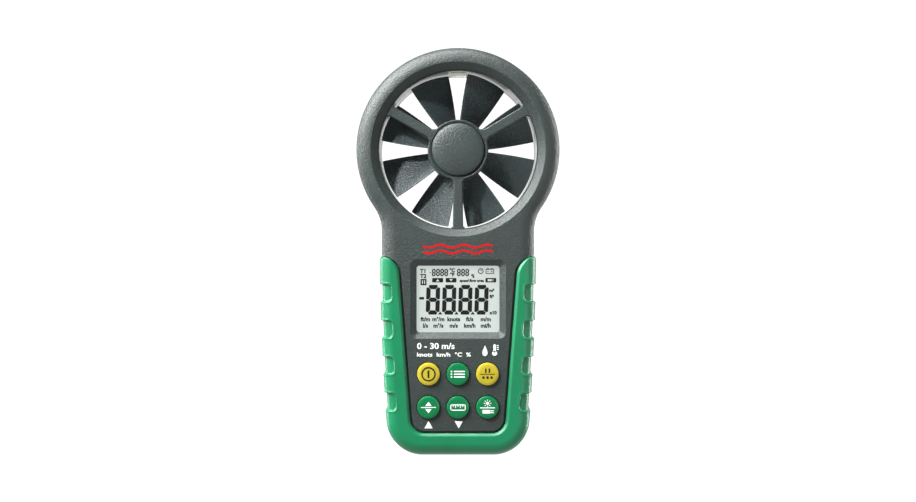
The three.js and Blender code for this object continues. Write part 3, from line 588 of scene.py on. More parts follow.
def display_cutter():
    """The sloped recess round the display, as steps of depth and of how much wider it is there."""
    width, height, corner = 34.5, 27.7, 1.2
    steps = ((-2, 2.75), (-0.01, 2.75), (0.1, 2.5), (0.3, 2.25), (1.6, 0.12), (1.72, 0), (WALL + 1, 0))
    levels = []
    for depth, grow in steps:
        outline = rounded_rect(width + 2 * grow, height + 2 * grow, corner + 0.5 * grow, DISPLAY_Z)
        levels.append((FRONT_Y + depth, outline))
    return loft(levels)


def key_cutter(x, z):
    r, back = KEY_R + 0.14, -10
    points = [(0, -FAR), (r + 2, -FAR), (r + 2, FRONT_Y - 0.01), (r + 0.15, FRONT_Y + 0.01)]
    points += [(r, FRONT_Y + 0.2), (r, back), (0, back)]
    return lathe(softened(points, [0, 0, 0, 0.25, 0.25, 0, 0]), x, z, 64)


def screw_spots():
    """Four screws round the head and two at the base, as (x, z)."""
    angles = [radians(a) for a in SCREW_ANGLES]
    ring = [(SCREW_RING_R * cos(a), HEAD_Z + SCREW_RING_R * sin(a)) for a in angles]
    return ring + [(-9, 12.5), (9, 12.5)]


def head_slab(bottom, y0, y1, front, back):
    """The head and neck down to bottom. Their rounded edge is wider than it is deep."""
    return slab(lambda i: head_outline(i * EDGE_SPREAD, bottom), y0, y1, front, back, 12)


def front_case():
    """The front half of the casing."""
    parting = PARTING_Y - PARTING_GAP
    shell = head_slab(3, FRONT_Y, parting, HEAD_EDGE, PARTING_SOFT)
    keep(shell, window_prism(FRONT_Y, 1))
    join(shell, core(-FAR, parting))
    cut(shell, cavity(), duct_cutter(), display_cutter())
    cut(shell, *[key_cutter(x, z) for z in KEY_ROWS for x in KEY_COLUMNS])
    cut(shell, box(*SENSOR_POCKET), box(*USB_OPENING))
    dressed(shell, "front_casing", CASE, "case_plastic", "front_case")


def door_outline(grow):
    return rounded_rect(DOOR_WIDTH + 2 * grow, DOOR_HEIGHT + 2 * grow, DOOR_CORNER + grow, DOOR_Z)


def rear_case():
    """The rear half of the casing, with the battery's bay, the door's seat and the screws' posts."""
    parting = PARTING_Y + PARTING_GAP
    boot_step = BOOT_TOP_HALF - NECK_HALF
    post_r, post_end, thread_r, head_bore_r = 2.9, 15, 1.25, 2.2
    shell = head_slab(60, parting, HEAD_BACK_Y, PARTING_SOFT, HEAD_EDGE)
    grip = slab(lambda i: grip_outline(boot_step + i, 90), parting, GRIP_BACK_Y, 0, BACK_EDGE, 10)
    join(shell, grip)
    keep(shell, window_prism(GRIP_BACK_Y, -1))
    join(shell, core(parting, FAR))
    posts = [keep(rod(post_r, parting, post_end, x, z, 32), duplicate(shell)) for x, z in screw_spots()]
    cut(shell, cavity())
    join(shell, box(*BAY_WALLS), box(*DOOR_FRAME), *posts)
    cut(shell, box(*BATTERY_BAY), box(*SNAP_SLOT))
    seat, mouth = door_outline(GAP), door_outline(GAP + 0.3)
    cut(shell, loft([(DOOR_SEAT_Y, seat), (18.15, seat), (18.45, mouth), (FAR, mouth)]))
    cut(shell, duct_cutter(), box(*LEAD_SLOT))
    bore = [(0, -5), (thread_r, -5), (thread_r, SCREW_SEAT_Y), (head_bore_r, SCREW_SEAT_Y)]
    bore += [(head_bore_r, FAR), (0, FAR)]
    cut(shell, *[lathe(bore, x, z, 32) for x, z in screw_spots()])
    dressed(shell, "rear_casing", CASE, "case_plastic", "rear_case")


front_case()
rear_case()


# ---- boot


def hits(points, directions, outline):
    """How far each ray runs in the XZ plane before it meets the outline."""
    ax, az = outline.T
    ex, ez = (np.roll(outline, -1, 0) - outline).T
    found = []
    for (px, pz), (dx, dz) in zip(points, directions):
        den = dx * ez - dz * ex
        den = np.where(np.abs(den) < 1e-9, 1e-9, den)
        t = ((ax - px) * ez - (az - pz) * ex) / den
        s = ((ax - px) * dz - (az - pz) * dx) / den
        met = (t > 0) & (s >= -1e-6) & (s <= 1 + 1e-6)
        found.append(t[met].min() if met.any() else 0.0)
    return np.array(found)


def smooth(x, low, high):
    t = np.clip((x - low) / (high - low), 0, 1)
    return t * t * (3 - 2 * t)


def notch_depth(inset, z):
    """How deep the finger notches are at a place on the boot's outside. A raised bead rims each one."""
    nearest = 9.0
    for centre in NOTCH_Z:
        qx = inset - (NOTCH_REACH - NOTCH_CORNER)
        qz = abs(z - centre) - (NOTCH_HEIGHT / 2 - NOTCH_CORNER)
        distance = hypot(max(qx, 0), max(qz, 0)) + min(max(qx, qz), 0) - NOTCH_CORNER
        nearest = min(nearest, distance)
    bead = max(0.0, 1 - ((nearest - 0.25) / NOTCH_BEAD_HALF) ** 2)
    dent = 1 - float(smooth(nearest, -0.45, 0.1))
    return dent * NOTCH_DEPTH - bead * NOTCH_BEAD


def boot_section(width, station_z, lean):
    """The boot's closed section at one place along its outline, as (inset, y).

    It runs from the window's edge at the front round the outside to the back, and returns along the
    inside. width is how far it reaches in, and lean is how fast z changes with the inset."""
    r = BOOT_EDGE
    scale = min(1.0, width / 6)
    bevel_at = np.array([0, 0.07, 0.2, 0.6, 1.0, 1.2, 1.45]) * scale
    bevel_drop = np.array([1.05, 0.95, 0.8, 0.45, 0.12, 0.03, 0]) * scale
    turn = min(0.92 * r, 0.5 * width)
    flat = width - np.concatenate([bevel_at, np.linspace(1.45 * scale, width - turn, 12)[1:]])
    theta = np.linspace(acos(1 - turn / r), 0, 14)[1:]
    inset = np.concatenate([flat, r * (1 - np.cos(theta))])
    depth = np.where(inset < r, r - np.sqrt(np.maximum(r * r - (r - np.minimum(inset, r)) ** 2, 0)), 0)
    drop = np.interp(width - inset, bevel_at, bevel_drop, right=0)
    along = np.where(inset < r, 1 - np.minimum(inset, r) / r, 0)  # how much the surface faces sideways
    half = []
    for n, d, c in zip(inset, depth + drop, along):
        dent = notch_depth(n, station_z + n * lean)
        half.append((n + dent * c, d + dent * sqrt(1 - c * c)))
    front = [(n, BOOT_FRONT_Y + d) for n, d in half]
    back = [(n, BOOT_BACK_Y - d) for n, d in half[::-1]]
    dent = notch_depth(0, station_z)
    side = [(dent, y) for y in np.linspace(BOOT_FRONT_Y + r, BOOT_BACK_Y - r, 8)[1:-1]]
    thick = BOOT_THICK
    inner_front, inner_back = BOOT_FRONT_Y + thick, BOOT_BACK_Y - thick
    wall = min(thick, width)
    bend = min(r - thick, max(width - thick, 0) * 0.9)
    angles = np.linspace(0, pi / 2, 5)
    corner = [(wall + bend * (1 - sin(a)), bend * (1 - cos(a))) for a in angles]
    inside = [(width, inner_back)] + [(n, inner_back - d) for n, d in corner]
    inside += [(n, inner_front + d) for n, d in corner[::-1]] + [(width, inner_front)]
    return front + side + back + inside


def rubber_boot():
    """The boot, swept along the grip's outline, with its finger notches sunk into it."""
    lean, corner_x, corner_top = base_corner()
    base = np.stack([np.linspace(0, corner_x, 10)[:-1], np.zeros(9)], 1)
    corner = arc(corner_x, BOOT_CORNER_R, BOOT_CORNER_R, BOOT_CORNER_R, -pi / 2, -lean, 36)
    low = np.linspace(corner_top, PANEL_TOP_Z, 190)[1:]
    high = PANEL_TOP_Z + (BOOT_TOP_Z - PANEL_TOP_Z) * np.sin(np.linspace(0, radians(88.5), 60)[1:])
    z = np.concatenate([low, high])
    line = np.concatenate([base, corner, np.stack([boot_half(z), z], 1)])
    tangent = np.gradient(line, axis=0)
    tangent /= np.linalg.norm(tangent, axis=1)[:, None]
    normal = np.stack([-tangent[:, 1], tangent[:, 0]], 1)
    reach = hits(line, normal, window_outline(0, 40, 90))
    near_top = np.maximum(line[:, 1] - (BOOT_TOP_Z - BOOT_LIP_R), 0)
    fall = np.minimum(BOOT_LIP_R - np.sqrt(np.maximum(BOOT_LIP_R**2 - near_top**2, 0)), reach * 0.8)
    line, reach = line + normal * fall[:, None], reach - fall
    rings = []
    for (px, pz), (nx, nz), width in zip(line, normal, reach):
        rings.append([(px + n * nx, y, pz + n * nz) for n, y in boot_section(width, pz, nz)])
    rings = np.array(rings)
    left = rings[1:][::-1] * (-1, 1, 1)
    rings = np.concatenate([left, rings])
    size = rings.shape[1]
    boot = solid(rings.reshape(-1, 3), capped(rings, size))
    dressed(boot, "rubber_bumper", BOOT, "boot_rubber", "rubber_boot", crease=50, weighted=False)


# ---- fan


def guard_arms(y0, y1):
    """Three struts and a rim, with softened front and back edges."""
    soft, flare = 0.6, 0.9
    rim = [(DUCT_R, y0), (LINER_R, y0), (LINER_R, y1), (DUCT_R, y1), (DUCT_R, y0)]
    arms = lathe(rim, sides=192)
    near, far = np.linspace(HUB_R - 1, HUB_R + 1.5, 8), np.linspace(DUCT_R - 1.5, DUCT_R + 0.6, 8)
    reach = np.concatenate([near, far])
    ends = 1 - smooth(reach, HUB_R - 0.2, HUB_R + 1.4) + smooth(reach, DUCT_R - 1.2, DUCT_R)
    half_width = np.interp(reach, (HUB_R, DUCT_R), (1.9, 2.2)) + flare * ends
    for angle in STRUT_ANGLES:
        c, s = cos(radians(angle)), sin(radians(angle))

        def outline(inset, turn=np.array([[c, s], [-s, c]])):
            w = half_width - inset
            strut = np.concatenate([np.stack([reach, -w], 1), np.stack([reach, w], 1)[::-1]])
            return strut @ turn + (0, HEAD_Z)

        join(arms, slab(outline, y0, y1, soft, soft, 5))
    return arms


def front_guard():
    """The front guard, with the recess for its cap and the tube for the rotor's front bearing."""
    seat, back, edge = GUARD_FRONT + 1.1, ROTOR_Y - ROTOR_HALF - 0.9, HUB_R - 1.5
    points = [(0, seat), (CAP_R + 0.08, seat), (CAP_R + 0.08, GUARD_FRONT + 0.5)]
    points += [(HUB_R - 0.4, GUARD_FRONT), (HUB_R, GUARD_FRONT + 0.1), (HUB_R, back), (edge, back)]
    points += [(edge, seat + 1.3), (TUBE_OUT, seat + 1.3), (TUBE_OUT, back), (TUBE_IN, back)]
    points += [(TUBE_IN, back - 2.2), (0, back - 2.2)]
    hub = lathe(softened(points, [0, 0, 0.1, 0.1, 0.2, 0.2] + 7 * [0]))
    join(hub, guard_arms(GUARD_FRONT, GUARD_FRONT + GUARD_DEPTH))
    dressed(hub, "front_guard", GUARD, "case_plastic", "front_spider")


def rear_guard():
    """The rear guard, with the rear bearing's tube, a ledge and a fine ring on its flat back."""
    front, back, floor_y, ledge = REAR_HUB_Y, GUARD_BACK, GUARD_BACK - 1.5, REAR_HUB_Y + 2.7
    wide, narrow = HUB_R - 1.2, HUB_R - 2.4
    points = [(0, front + 2.4), (TUBE_IN, front + 2.4), (TUBE_IN, front), (TUBE_OUT, front)]
    points += [(TUBE_OUT, floor_y), (narrow, floor_y), (narrow, ledge), (wide, ledge), (wide, front)]
    points += [(HUB_R, front), (HUB_R, back), (9.8, back), (9.3, back - 0.5), (8.8, back), (0, back)]
    hub = lathe(softened(points, 9 * [0] + [0.2, 0.8, 0.1, 0.2, 0.1, 0]))
    join(hub, guard_arms(back - REAR_GUARD_DEPTH, back))
    cut(hub, box(*LEAD_SLOT))
    dressed(hub, "rear_guard", GUARD, "case_plastic", "rear_spider")


def hub_cap():
    """The domed cap on the front guard."""
    back, edge, rise = GUARD_FRONT + 0.9, GUARD_FRONT - 0.5, 1.9
    dome = [(CAP_R * sin(a), edge - rise * cos(a)) for a in np.linspace(0, pi / 2, 26)]
    dome[0] = (0, edge - rise)
    cap = lathe(dome + [(CAP_R, back), (0, back)], sides=128)
    dressed(cap, "guard_cap", GUARD, "case_plastic", "hub_cap", weighted=False)


def fan_blade(centre):
    """One blade: a twisted plate with rounded edges and rounded tip corners."""
    half_depth, thick, root, corner = ROTOR_HALF - 0.5, 0.95, ROTOR_HUB_R - 0.7, 0.45
    chord_steps, span_steps = 20, 18
    t = (1 - np.cos(np.linspace(0, pi, chord_steps + 1))) / 2
    loop_t = np.concatenate([t, t[-2:0:-1]])
    side = np.concatenate([np.ones(chord_steps + 1), -np.ones(chord_steps - 1)])
    rings = []
    for v in np.linspace(0, 1, span_steps + 1):
        ring = []
        for u, half in zip(loop_t, side):
            edge = min(u, 1 - u) * 20
            short = corner - sqrt(corner**2 - max(corner - edge, 0) ** 2) if edge < corner else 0
            r = root + v * (ROTOR_TIP_R - short - root)
            share = (r - ROTOR_HUB_R) / (ROTOR_TIP_R - ROTOR_HUB_R)
            span = radians(37 - 6.3 * share)
            chord = hypot(r * span, 2 * half_depth)
            body = thick * (1 - 0.35 * share) * min(1, sqrt(1 - (2 * u - 1) ** 8) + 0.05)
            offset = half * body / 2 + 0.35 * (1 - (2 * u - 1) ** 2) * share
            angle = radians(centre) + (u - 0.5) * span + offset * 2 * half_depth / chord / r
            y = ROTOR_Y - 2 * (u - 0.5) * half_depth + offset * r * span / chord
            ring.append((r * cos(angle), y, HEAD_Z + r * sin(angle)))
        rings.append(ring)
    rings = np.array(rings)
    size = rings.shape[1]
    faces = bridge(rings, size)
    for at, flip in ((0, False), (span_steps * size, True)):
        for i in range(chord_steps):
            quad = face(at + i, at + i + 1, at + size - i - 1, at + (size - i) % size)
            faces.append(quad if flip else quad[::-1])
    return solid(rings.reshape(-1, 3), faces)


def fan():
    """The rotor: a hub open to the front, with eight blades."""
    front, back = ROTOR_Y - ROTOR_HALF, ROTOR_Y + ROTOR_HALF
    web, bore, boss, edge = back - 1.6, 1.0, 2.8, ROTOR_HUB_R - 1.2
    points = [(bore, front + 0.4), (boss, front + 0.4), (boss, web), (edge, web), (edge, front)]
    points += [(ROTOR_HUB_R, front), (ROTOR_HUB_R, back), (bore, back), (bore, front + 0.4)]
    hub = lathe(softened(points, [0, 0, 0, 0, 0.2, 0.3, 0.6, 0, 0]))
    join(hub, *[fan_blade(45 * (i + 0.5)) for i in range(8)])
    dressed(hub, "fan_rotor", BLADE, "blade_plastic", "rotor", "fan", crease=40)


def liner():
    """The pale wall of the air duct, with the fine seam a little way in."""
    y0, y1 = GUARD_FRONT + GUARD_DEPTH + 0.1, GUARD_BACK - REAR_GUARD_DEPTH - 0.1
    seam = FRONT_Y + 9.2
    profile = [(DUCT_R, y0), (LINER_R, y0), (LINER_R, y1), (DUCT_R, y1)]
    profile += [(DUCT_R, seam + 0.2), (DUCT_R + 0.22, seam), (DUCT_R, seam - 0.2), (DUCT_R, y0)]
    wall = lathe(profile, sides=192)
    cut(wall, box(*SENSOR_POCKET))
    dressed(wall, "duct_wall", LINER, "liner_plastic", "duct_liner")


def sensor():
    """The humidity sensor's cover: a small slotted box."""
    z0, z1, front = HEAD_Z + 30.4, HEAD_Z + TUBE_R - 0.6, -11.8
    cover = plate(7.2, z1 - z0, 0.7, (z0 + z1) / 2, front, -9.6, 0.25, 0.25, 3)
    cut(cover, box(-2.95, front - 0.7, z0 + 1.75, 2.95, -10.4, z0 + 2.3))
    for up in (0.4, 0.85, 1.3):
        cut(cover, box(-3.1, front - 0.7, z0 + up, 3.1, front + 0.15, z0 + up + 0.12))
    dressed(cover, "sensor_cover", CREAM, "sensor_plastic", "humidity_sensor")


# ---- prints


class Print:
    """Thin shapes on a face at y that looks towards -Y, gathered into one mesh."""

    def __init__(self, y, thick=0.04):
        self.y0, self.y1 = y - thick, y + 0.015
        self.verts, self.faces = [], []

    def polygon(self, points):
        points = np.array(points)
        x, z = points[:, 0], points[:, 1]
        if (x * np.roll(z, -1) - np.roll(x, -1) * z).sum() < 0:
            points = points[::-1]
        n, at = len(points), len(self.verts)
        self.verts += [(px, y, pz) for y in (self.y0, self.y1) for px, pz in points]
        self.faces += [tuple(range(at, at + n)), tuple(reversed(range(at + n, at + 2 * n)))]
        self.faces += [(at + i, at + n + i, at + n + (i + 1) % n, at + (i + 1) % n) for i in range(n)]

    def bar(self, x, z, width, height, corner=0.0):
        if corner:
            self.polygon(rounded_rect(width, height, corner, z, x, 5))
        else:
            w, h = width / 2, height / 2
            self.polygon([(x - w, z - h), (x + w, z - h), (x + w, z + h), (x - w, z + h)])

    def disc(self, x, z, r, sides=32):
        self.polygon(arc(x, z, r, r, 0, 2 * pi, sides)[:-1])

    def stroke(self, points, width):
        """A line of even width through points."""
        points = np.array(points, float)
        tangent = np.gradient(points, axis=0)
        tangent /= np.linalg.norm(tangent, axis=1)[:, None]
        across = np.stack([-tangent[:, 1], tangent[:, 0]], 1) * width / 2
        self.polygon(np.concatenate([points + across, (points - across)[::-1]]))

    def circle(self, x, z, r, width):
        self.stroke(arc(x, z, r, r, 0, 2 * pi - 0.002, 48), width)

    def triangle(self, x, z, width, height):
        """Points up, or down if height is negative."""
        w, h = width / 2, height / 2
        self.polygon([(x - w, z - h), (x + w, z - h), (x, z + h)])

    def frame(self, x, z, dx, dz, width, height, line):
        """Two bars of width above and below, and two of height at the sides."""
        for side in (-1, 1):
            self.bar(x, z + side * dz, width, line)
            self.bar(x + side * dx, z, line, height)

    def words(self, text, x, z, cap, bold=0.0, squeeze=1.0):
        """Generic lettering, such as a unit, centred on (x, z). cap is the height of a capital."""
        curve = bpy.data.curves.new("words", "FONT")
        curve.body = text
        curve.align_x = "CENTER"
        curve.size = cap / 0.73
        curve.offset = bold
        curve.resolution_u = 3
        holder = bpy.data.objects.new("words", curve)
        mesh = bpy.data.meshes.new_from_object(holder)
        at, n = len(self.verts), len(mesh.vertices)
        flat = np.array([(v.co.x * squeeze + x, v.co.y - cap / 2 + z) for v in mesh.vertices])
        self.verts += [(px, y, pz) for y in (self.y0, self.y1) for px, pz in flat]
        edges = {}
        for p in mesh.polygons:
            ring = [at + v for v in p.vertices]
            self.faces += [tuple(ring), tuple(v + n for v in reversed(ring))]
            edges.update(dict.fromkeys(zip(ring, ring[1:] + ring[:1])))
        self.faces += [(b, a, a + n, b + n) for a, b in edges if (b, a) not in edges]
        bpy.data.meshes.remove(mesh)
        bpy.data.curves.remove(curve)

    def digit(self, x, z, width, height, line, gap):
        """A seven-segment 8, leaning a little. The outer segments' outer corners are cut short."""
        slant = 0.027
        w, h, s = width / 2 - line / 2, height / 2 - line / 2, line / 2
        ends = np.array([(-w, h), (w, h), (w, 0), (w, -h), (-w, -h), (-w, 0)])
        for a, b in ((0, 1), (1, 2), (2, 3), (3, 4), (4, 5), (5, 0), (5, 2)):
            p, q = ends[a], ends[b]
            u = (q - p) / np.linalg.norm(q - p)
            v = np.array([-u[1], u[0]])
            p, q = p + u * gap, q - u * gap
            cut_off = u if (a, b) == (5, 2) else u * 0.25
            outside = [p + s * (cut_off + v), q + s * (v - cut_off)]
            shape = [p, *outside, q, q - s * (u + v), p + s * (u - v)]
            self.polygon([(x + c[0] + slant * c[1], z + c[1]) for c in shape])

    def made(self, name, material, slot, body="meter"):
        obj = new_object(self.verts, self.faces)
        dressed(obj, name, material, slot, None, body, weighted=False)


def display():
    """The LCD with its segments, and the clear window over it. The units are generic ones."""
    top, z = -14.0, DISPLAY_Z
    glass = plate(38.4, 30.8, 0.6, z, top, top + 1.7, 0.2, 0.2, 2)
    dressed(glass, "lcd_glass", DISPLAY, "lcd_glass", "lcd_panel")
    pane = plate(38.2, 30.6, 0.8, z, -15.15, -14.2, 0.15, 0.15, 2)
    dressed(pane, "window_pane", WINDOW, "window_clear", "lcd_window")

    dark, pale = Print(top), Print(top - 0.04, 0.03)
    for i in range(4):
        dark.digit(-10.45 + 6.76 * i, z - 0.36, 5.75, 12.4, 1.8, 0.09)
    for i in range(3):
        dark.triangle(-7.45 + 6.8 * i, z - 5.9, 1.9, 1.25)
    dark.bar(-15.15, z + 0.25, 1.95, 1.05)
    for start, pitch, count in ((-10.1, 1.73, 4), (0.35, 1.76, 3)):
        for i in range(count):
            dark.digit(start + pitch * i, z + 11, 1.55, 3.1, 0.54, 0.03)
    dark.bar(-11.6, z + 11, 0.5, 0.4)

    clock_x, clock_z = 9.5, z + 11.6
    dark.circle(clock_x, clock_z, 1.0, 0.36)
    dark.stroke([(clock_x, clock_z + 0.55), (clock_x, clock_z), (clock_x + 0.45, clock_z + 0.3)], 0.26)
    battery_x, battery_z = 13.3, z + 11.5
    dark.frame(battery_x, battery_z, 1.6, 0.85, 3.4, 2, 0.3)
    for dx in (-0.8, 0.8):
        dark.bar(battery_x + dx, battery_z + 1.1, 0.7, 0.4)
        dark.bar(battery_x + dx, battery_z, 0.8, 0.22)
    dark.bar(battery_x + 0.8, battery_z, 0.22, 0.8)

    badge_z = z + 7.8
    for x, width in ((-8.5, 4.6), (-2.9, 4.5), (13.7, 4.5)):
        dark.bar(x, badge_z, width, 1.85, 0.35)
    pale.triangle(-8.5, badge_z, 1.5, 1.0)
    pale.triangle(-2.9, badge_z, 1.5, -1.0)
    pale.bar(13.2, badge_z, 1.6, 0.9)
    dark.bar(-14.4, z + 7.0, 2.5, 2.6)
    for side in (-1, 1):
        pale.bar(14.5, badge_z + 0.25 * side, 0.8, 0.2)
        pale.bar(-14.4 + 0.45 * side, z + 7.0, 0.4, 1.5)

    # words as text, x, height above the display's middle, height of a capital and boldness
    small = [("°C", -2.4, 12.0, 1.5, 0.12), ("°F", -2.4, 10.2, 1.5, 0.12), ("%", 6.2, 9.6, 1.4, 0.11)]
    small += [("T1", -14.5, 11.7, 1.7, 0.1), ("T2", -14.5, 9.6, 1.7, 0.1)]
    small += [(word, x, 7.7, 1.15, 0.09) for word, x in (("speed", 2.6), ("flow", 6.2), ("area", 9.4))]
    small += [("m²", 14.1, 3.6, 1.4, 0.11), ("ft²", 14.1, 1.1, 1.4, 0.11), ("x10", 14.7, -5.7, 1.4, 0.11)]
    columns = (-13.6, -8.2, -1.8, 4.9, 11.6)
    for up, row in ((-8.4, "ft/m m³/m knots ft/s m/m"), (-11.1, "l/s m³/s m/s km/h mi/h")):
        small += [(word, x, up, 1.75, 0.11) for word, x in zip(row.split(), columns)]
    for word, x, up, cap, bold in small:
        dark.words(word, x, z + up, cap, bold)
    dark.made("lcd_segments", SEGMENT, "black_plastic")
    pale.made("lcd_reversed", DISPLAY, "lcd_glass")


def key(name, x, z, symbol, material, slot, symbol_ink):
    """A key with a flange behind the panel, and the symbol printed on it."""
    flange, inside, back = KEY_R + 0.6, PANEL_INNER_Y + 0.1, -13.3
    points = [(0, KEY_TOP_Y + 0.04), (KEY_R * 0.8, KEY_TOP_Y + 0.08), (KEY_R, KEY_TOP_Y + 0.35)]
    points += [(KEY_R, inside), (flange, inside), (flange, back), (0, back)]
    cap = lathe(softened(points, [0, 2.5, 0.3, 0, 0, 0, 0], 8), x, z, 80)
    body = name + "_key"
    dressed(cap, name + "_cap", material, slot, name + "_button", body)
    mark = Print(KEY_TOP_Y + 0.04, 0.035)
    symbol(mark, x, z)
    mark.made(name + "_symbol", symbol_ink, slot, body)


def power_symbol(p, x, z):
    p.circle(x, z, 2.7, 0.6)
    p.bar(x, z, 0.78, 3.1)


def menu_symbol(p, x, z):
    for i in (-1, 0, 1):
        p.bar(x + 0.6, z + 1.15 * i, 4.6, 0.5, 0.2)
        p.disc(x - 2.7, z + 1.15 * i, 0.34, 12)


def hold_symbol(p, x, z):
    for dx in (-0.75, 0.75):
        p.bar(x + dx, z + 1.45, 0.6, 1.8)
    p.bar(x, z, 6.2, 0.3)
    for i in (-1, 0, 1):
        p.disc(x + 1.7 * i, z - 1.4, 0.55, 20)


def extremes_symbol(p, x, z):
    p.triangle(x, z + 1.5, 2.6, 1.7)
    p.bar(x, z, 6.2, 0.34)
    p.triangle(x, z - 1.5, 2.6, -1.7)


def ruler_symbol(p, x, z):
    p.frame(x, z, 3, 1.1, 6.4, 2.6, 0.4)
    for i in range(-2, 3):
        long = i % 2
        p.bar(x + i, z + (0.4 if long else 0.65), 0.3, 1.2 if long else 0.8)


def light_symbol(p, x, z):
    sun = z + 1.75
    p.disc(x, sun, 0.62, 20)
    for i in range(8):
        c, s = cos(pi / 4 * i), sin(pi / 4 * i)
        p.stroke([(x + 0.95 * c, sun + 0.95 * s), (x + 1.55 * c, sun + 1.55 * s)], 0.28)
    p.bar(x, z - 0.15, 6.2, 0.34)
    p.bar(x - 0.5, z - 1.75, 3.2, 1.5, 0.3)
    for down in (1.35, 2.15):
        p.bar(x + 1.9, z - down, 1.4, 0.36)


def keys():
    """The six keys, row by row, with their symbols, materials and slots."""
    yellow = (KEY_YELLOW, "key_yellow", DARK_INK)
    green = (KEY_GREEN, "key_green", WHITE_INK)
    table = (
        ("power", power_symbol, yellow),
        ("function", menu_symbol, green),
        ("hold", hold_symbol, yellow),
        ("max_min", extremes_symbol, green),
        ("unit", ruler_symbol, green),
        ("backlight", light_symbol, green),
    )
    for i, (name, symbol, look) in enumerate(table):
        key(name, KEY_COLUMNS[i % 3], KEY_ROWS[i // 3], symbol, *look)


def panel_prints():
    """Generic marks where the panel is printed: waves, two lines of plain words and small symbols."""
    red, white = Print(FRONT_Y, 0.03), Print(FRONT_Y, 0.03)
    wave_half, wave_length, wave_height, wave_z = 14.5, 9.67, 0.6, 85.9
    x = np.linspace(-wave_half, wave_half, 90)
    for side in (-1, 1):
        wave = wave_z + 1.2 * side + wave_height * np.sin(x * 2 * pi / wave_length)
        red.stroke(np.stack([x, wave], 1), 1.0)
    red.made("wind_mark", RED_INK, "case_plastic")

    white.words("0 - 30 m/s", -9.2, 45.7, 2.5, 0.07, 1.12)
    white.words("knots  km/h  °C  %", -5.9, 42.1, 1.7, 0.05, 1.25)
    white.triangle(-12.25, 12.9, 3.4, 3.0)
    white.triangle(0.3, 12.9, 3.4, -3.0)
    a = np.linspace(0, 2 * pi, 40)[:-1]
    drop_x = 11.2 + 1.5 * np.sin(a) * np.sin(a / 2) ** 1.6
    white.polygon(np.stack([drop_x, 43.7 + 2.2 * np.cos(a)], 1))
    white.bar(15.2, 44.6, 1.0, 3.6, 0.5)
    white.disc(15.2, 42.6, 1.05, 24)
    for level in (44.2, 45.0, 45.8):
        white.bar(16.5, level, 0.9, 0.3)
    white.made("panel_print", WHITE_INK, "case_plastic")


# ---- back and fasteners


def battery_door():
    """The door, with three grooves across it for a thumb."""
    y0, y1 = DOOR_SEAT_Y + 0.1, GRIP_BACK_Y
    door = plate(DOOR_WIDTH, DOOR_HEIGHT, DOOR_CORNER, DOOR_Z, y0, y1, 0.2, 0.5, 5)
    for z in (70.55, 72.75, 74.95):
        floor, mouth = rounded_rect(13.6, 0.8, 0.35, z), rounded_rect(14.6, 1.6, 0.75, z)
        cut(door, loft([(y1 - 0.6, floor), (y1 + 0.1, mouth)]))
    dressed(door, "battery_cover", CASE, "case_plastic", "battery_door", "door")


def screw(node, x, z):
    """A pan-head screw with a cross recess, its head towards +Y."""
    tip, shank, head, seat = -7.5, 0.95, 1.9, SCREW_SEAT_Y
    top, reach, half = seat + 1.5, head * 0.62, 0.24
    points = [(0, tip), (shank, tip + 0.8), (shank, seat), (head, seat), (head, seat + 0.9)]
    points += [(head * 0.6, top), (0, top)]
    body = lathe(softened(points, [0, 0, 0, 0.15, 0.5, 0.4, 0]), x, z, 40)
    for w, h in ((reach, half), (half, reach)):
        cut(body, box(x - w, top - 0.8, z - h, x + w, top + 1, z + h))
    dressed(body, node + "_turned", STEEL, "steel", node)


def battery():
    """The 9 V block: a wrapped can with rounded upright edges and two terminals."""
    middle, low, high = 7.4, 22.6, 68.6
    half_w, half_d = 13.25, 8.75
    outline = rounded_rect(2 * half_w, 2 * half_d, 2.2, 0)
    levels = [(low, 0.6), (low + 0.6, 0), (high - 0.8, 0), (high, 0.8)]
    verts = []
    for z, inset in levels:
        verts += [(x * (1 - inset / half_w), middle + y * (1 - inset / half_d), z) for x, y in outline]
    can = solid(verts, capped(levels, len(outline)))
    dressed(can, "battery_block", LABEL_BLUE, "battery_can", "battery_9v")
    for name, x, r in (("battery_stud", -6.35, 2.9), ("battery_socket", 6.35, 4.0)):
        points = [(0, 0), (r, 0), (r, 1.9), (r - 0.5, 2.5), (r - 1, 2.5), (r - 1.2, 1.5), (0, 1.5)]
        stud = lathe(softened(points, [0, 0, 0.3, 0.2, 0.2, 0.2, 0]), 0, 0, 48)
        place = Matrix.Translation((x * MM, middle * MM, (high + 0.02) * MM))
        stud.data.transform(place @ Matrix.Rotation(pi / 2, 4, "X"))
        dressed(stud, name, STEEL, "steel")


def usb_socket():
    """The data socket: a folded metal shell with a black core and its tongue."""
    x0, x1, y0, y1, z0, z1 = 24.0, 31.2, -6.4, -2.4, 86.6, 94.4
    thick = 0.45
    inside = (y0 + thick, z0 + thick, FAR, y1 - thick, z1 - thick)
    shell = box(x0, y0, z0, x1, y1, z1)
    cut(shell, box(x0 + 1, *inside))
    dressed(shell, "usb_shell", STEEL, "steel", "usb_socket")
    fit = thick + 0.02
    tongue = box(x0 + 1.02, y0 + fit, z0 + fit, x0 + 2.6, y1 - fit, z1 - fit)
    join(tongue, box(x0 + 2, y0 + 1.3, z0 + 1.4, x1 - 1, y0 + 2.1, z1 - 1.4))
    dressed(tongue, "usb_tongue", BLACK, "black_plastic")


rubber_boot()
usb_socket()
front_guard()
rear_guard()
hub_cap()
fan()
liner()
sensor()
display()
keys()
panel_prints()
battery_door()
battery()
for number, spot in enumerate(screw_spots(), 1):
    screw(f"case_screw_{number}", *spot)


# ---- carried-over CAD nodes

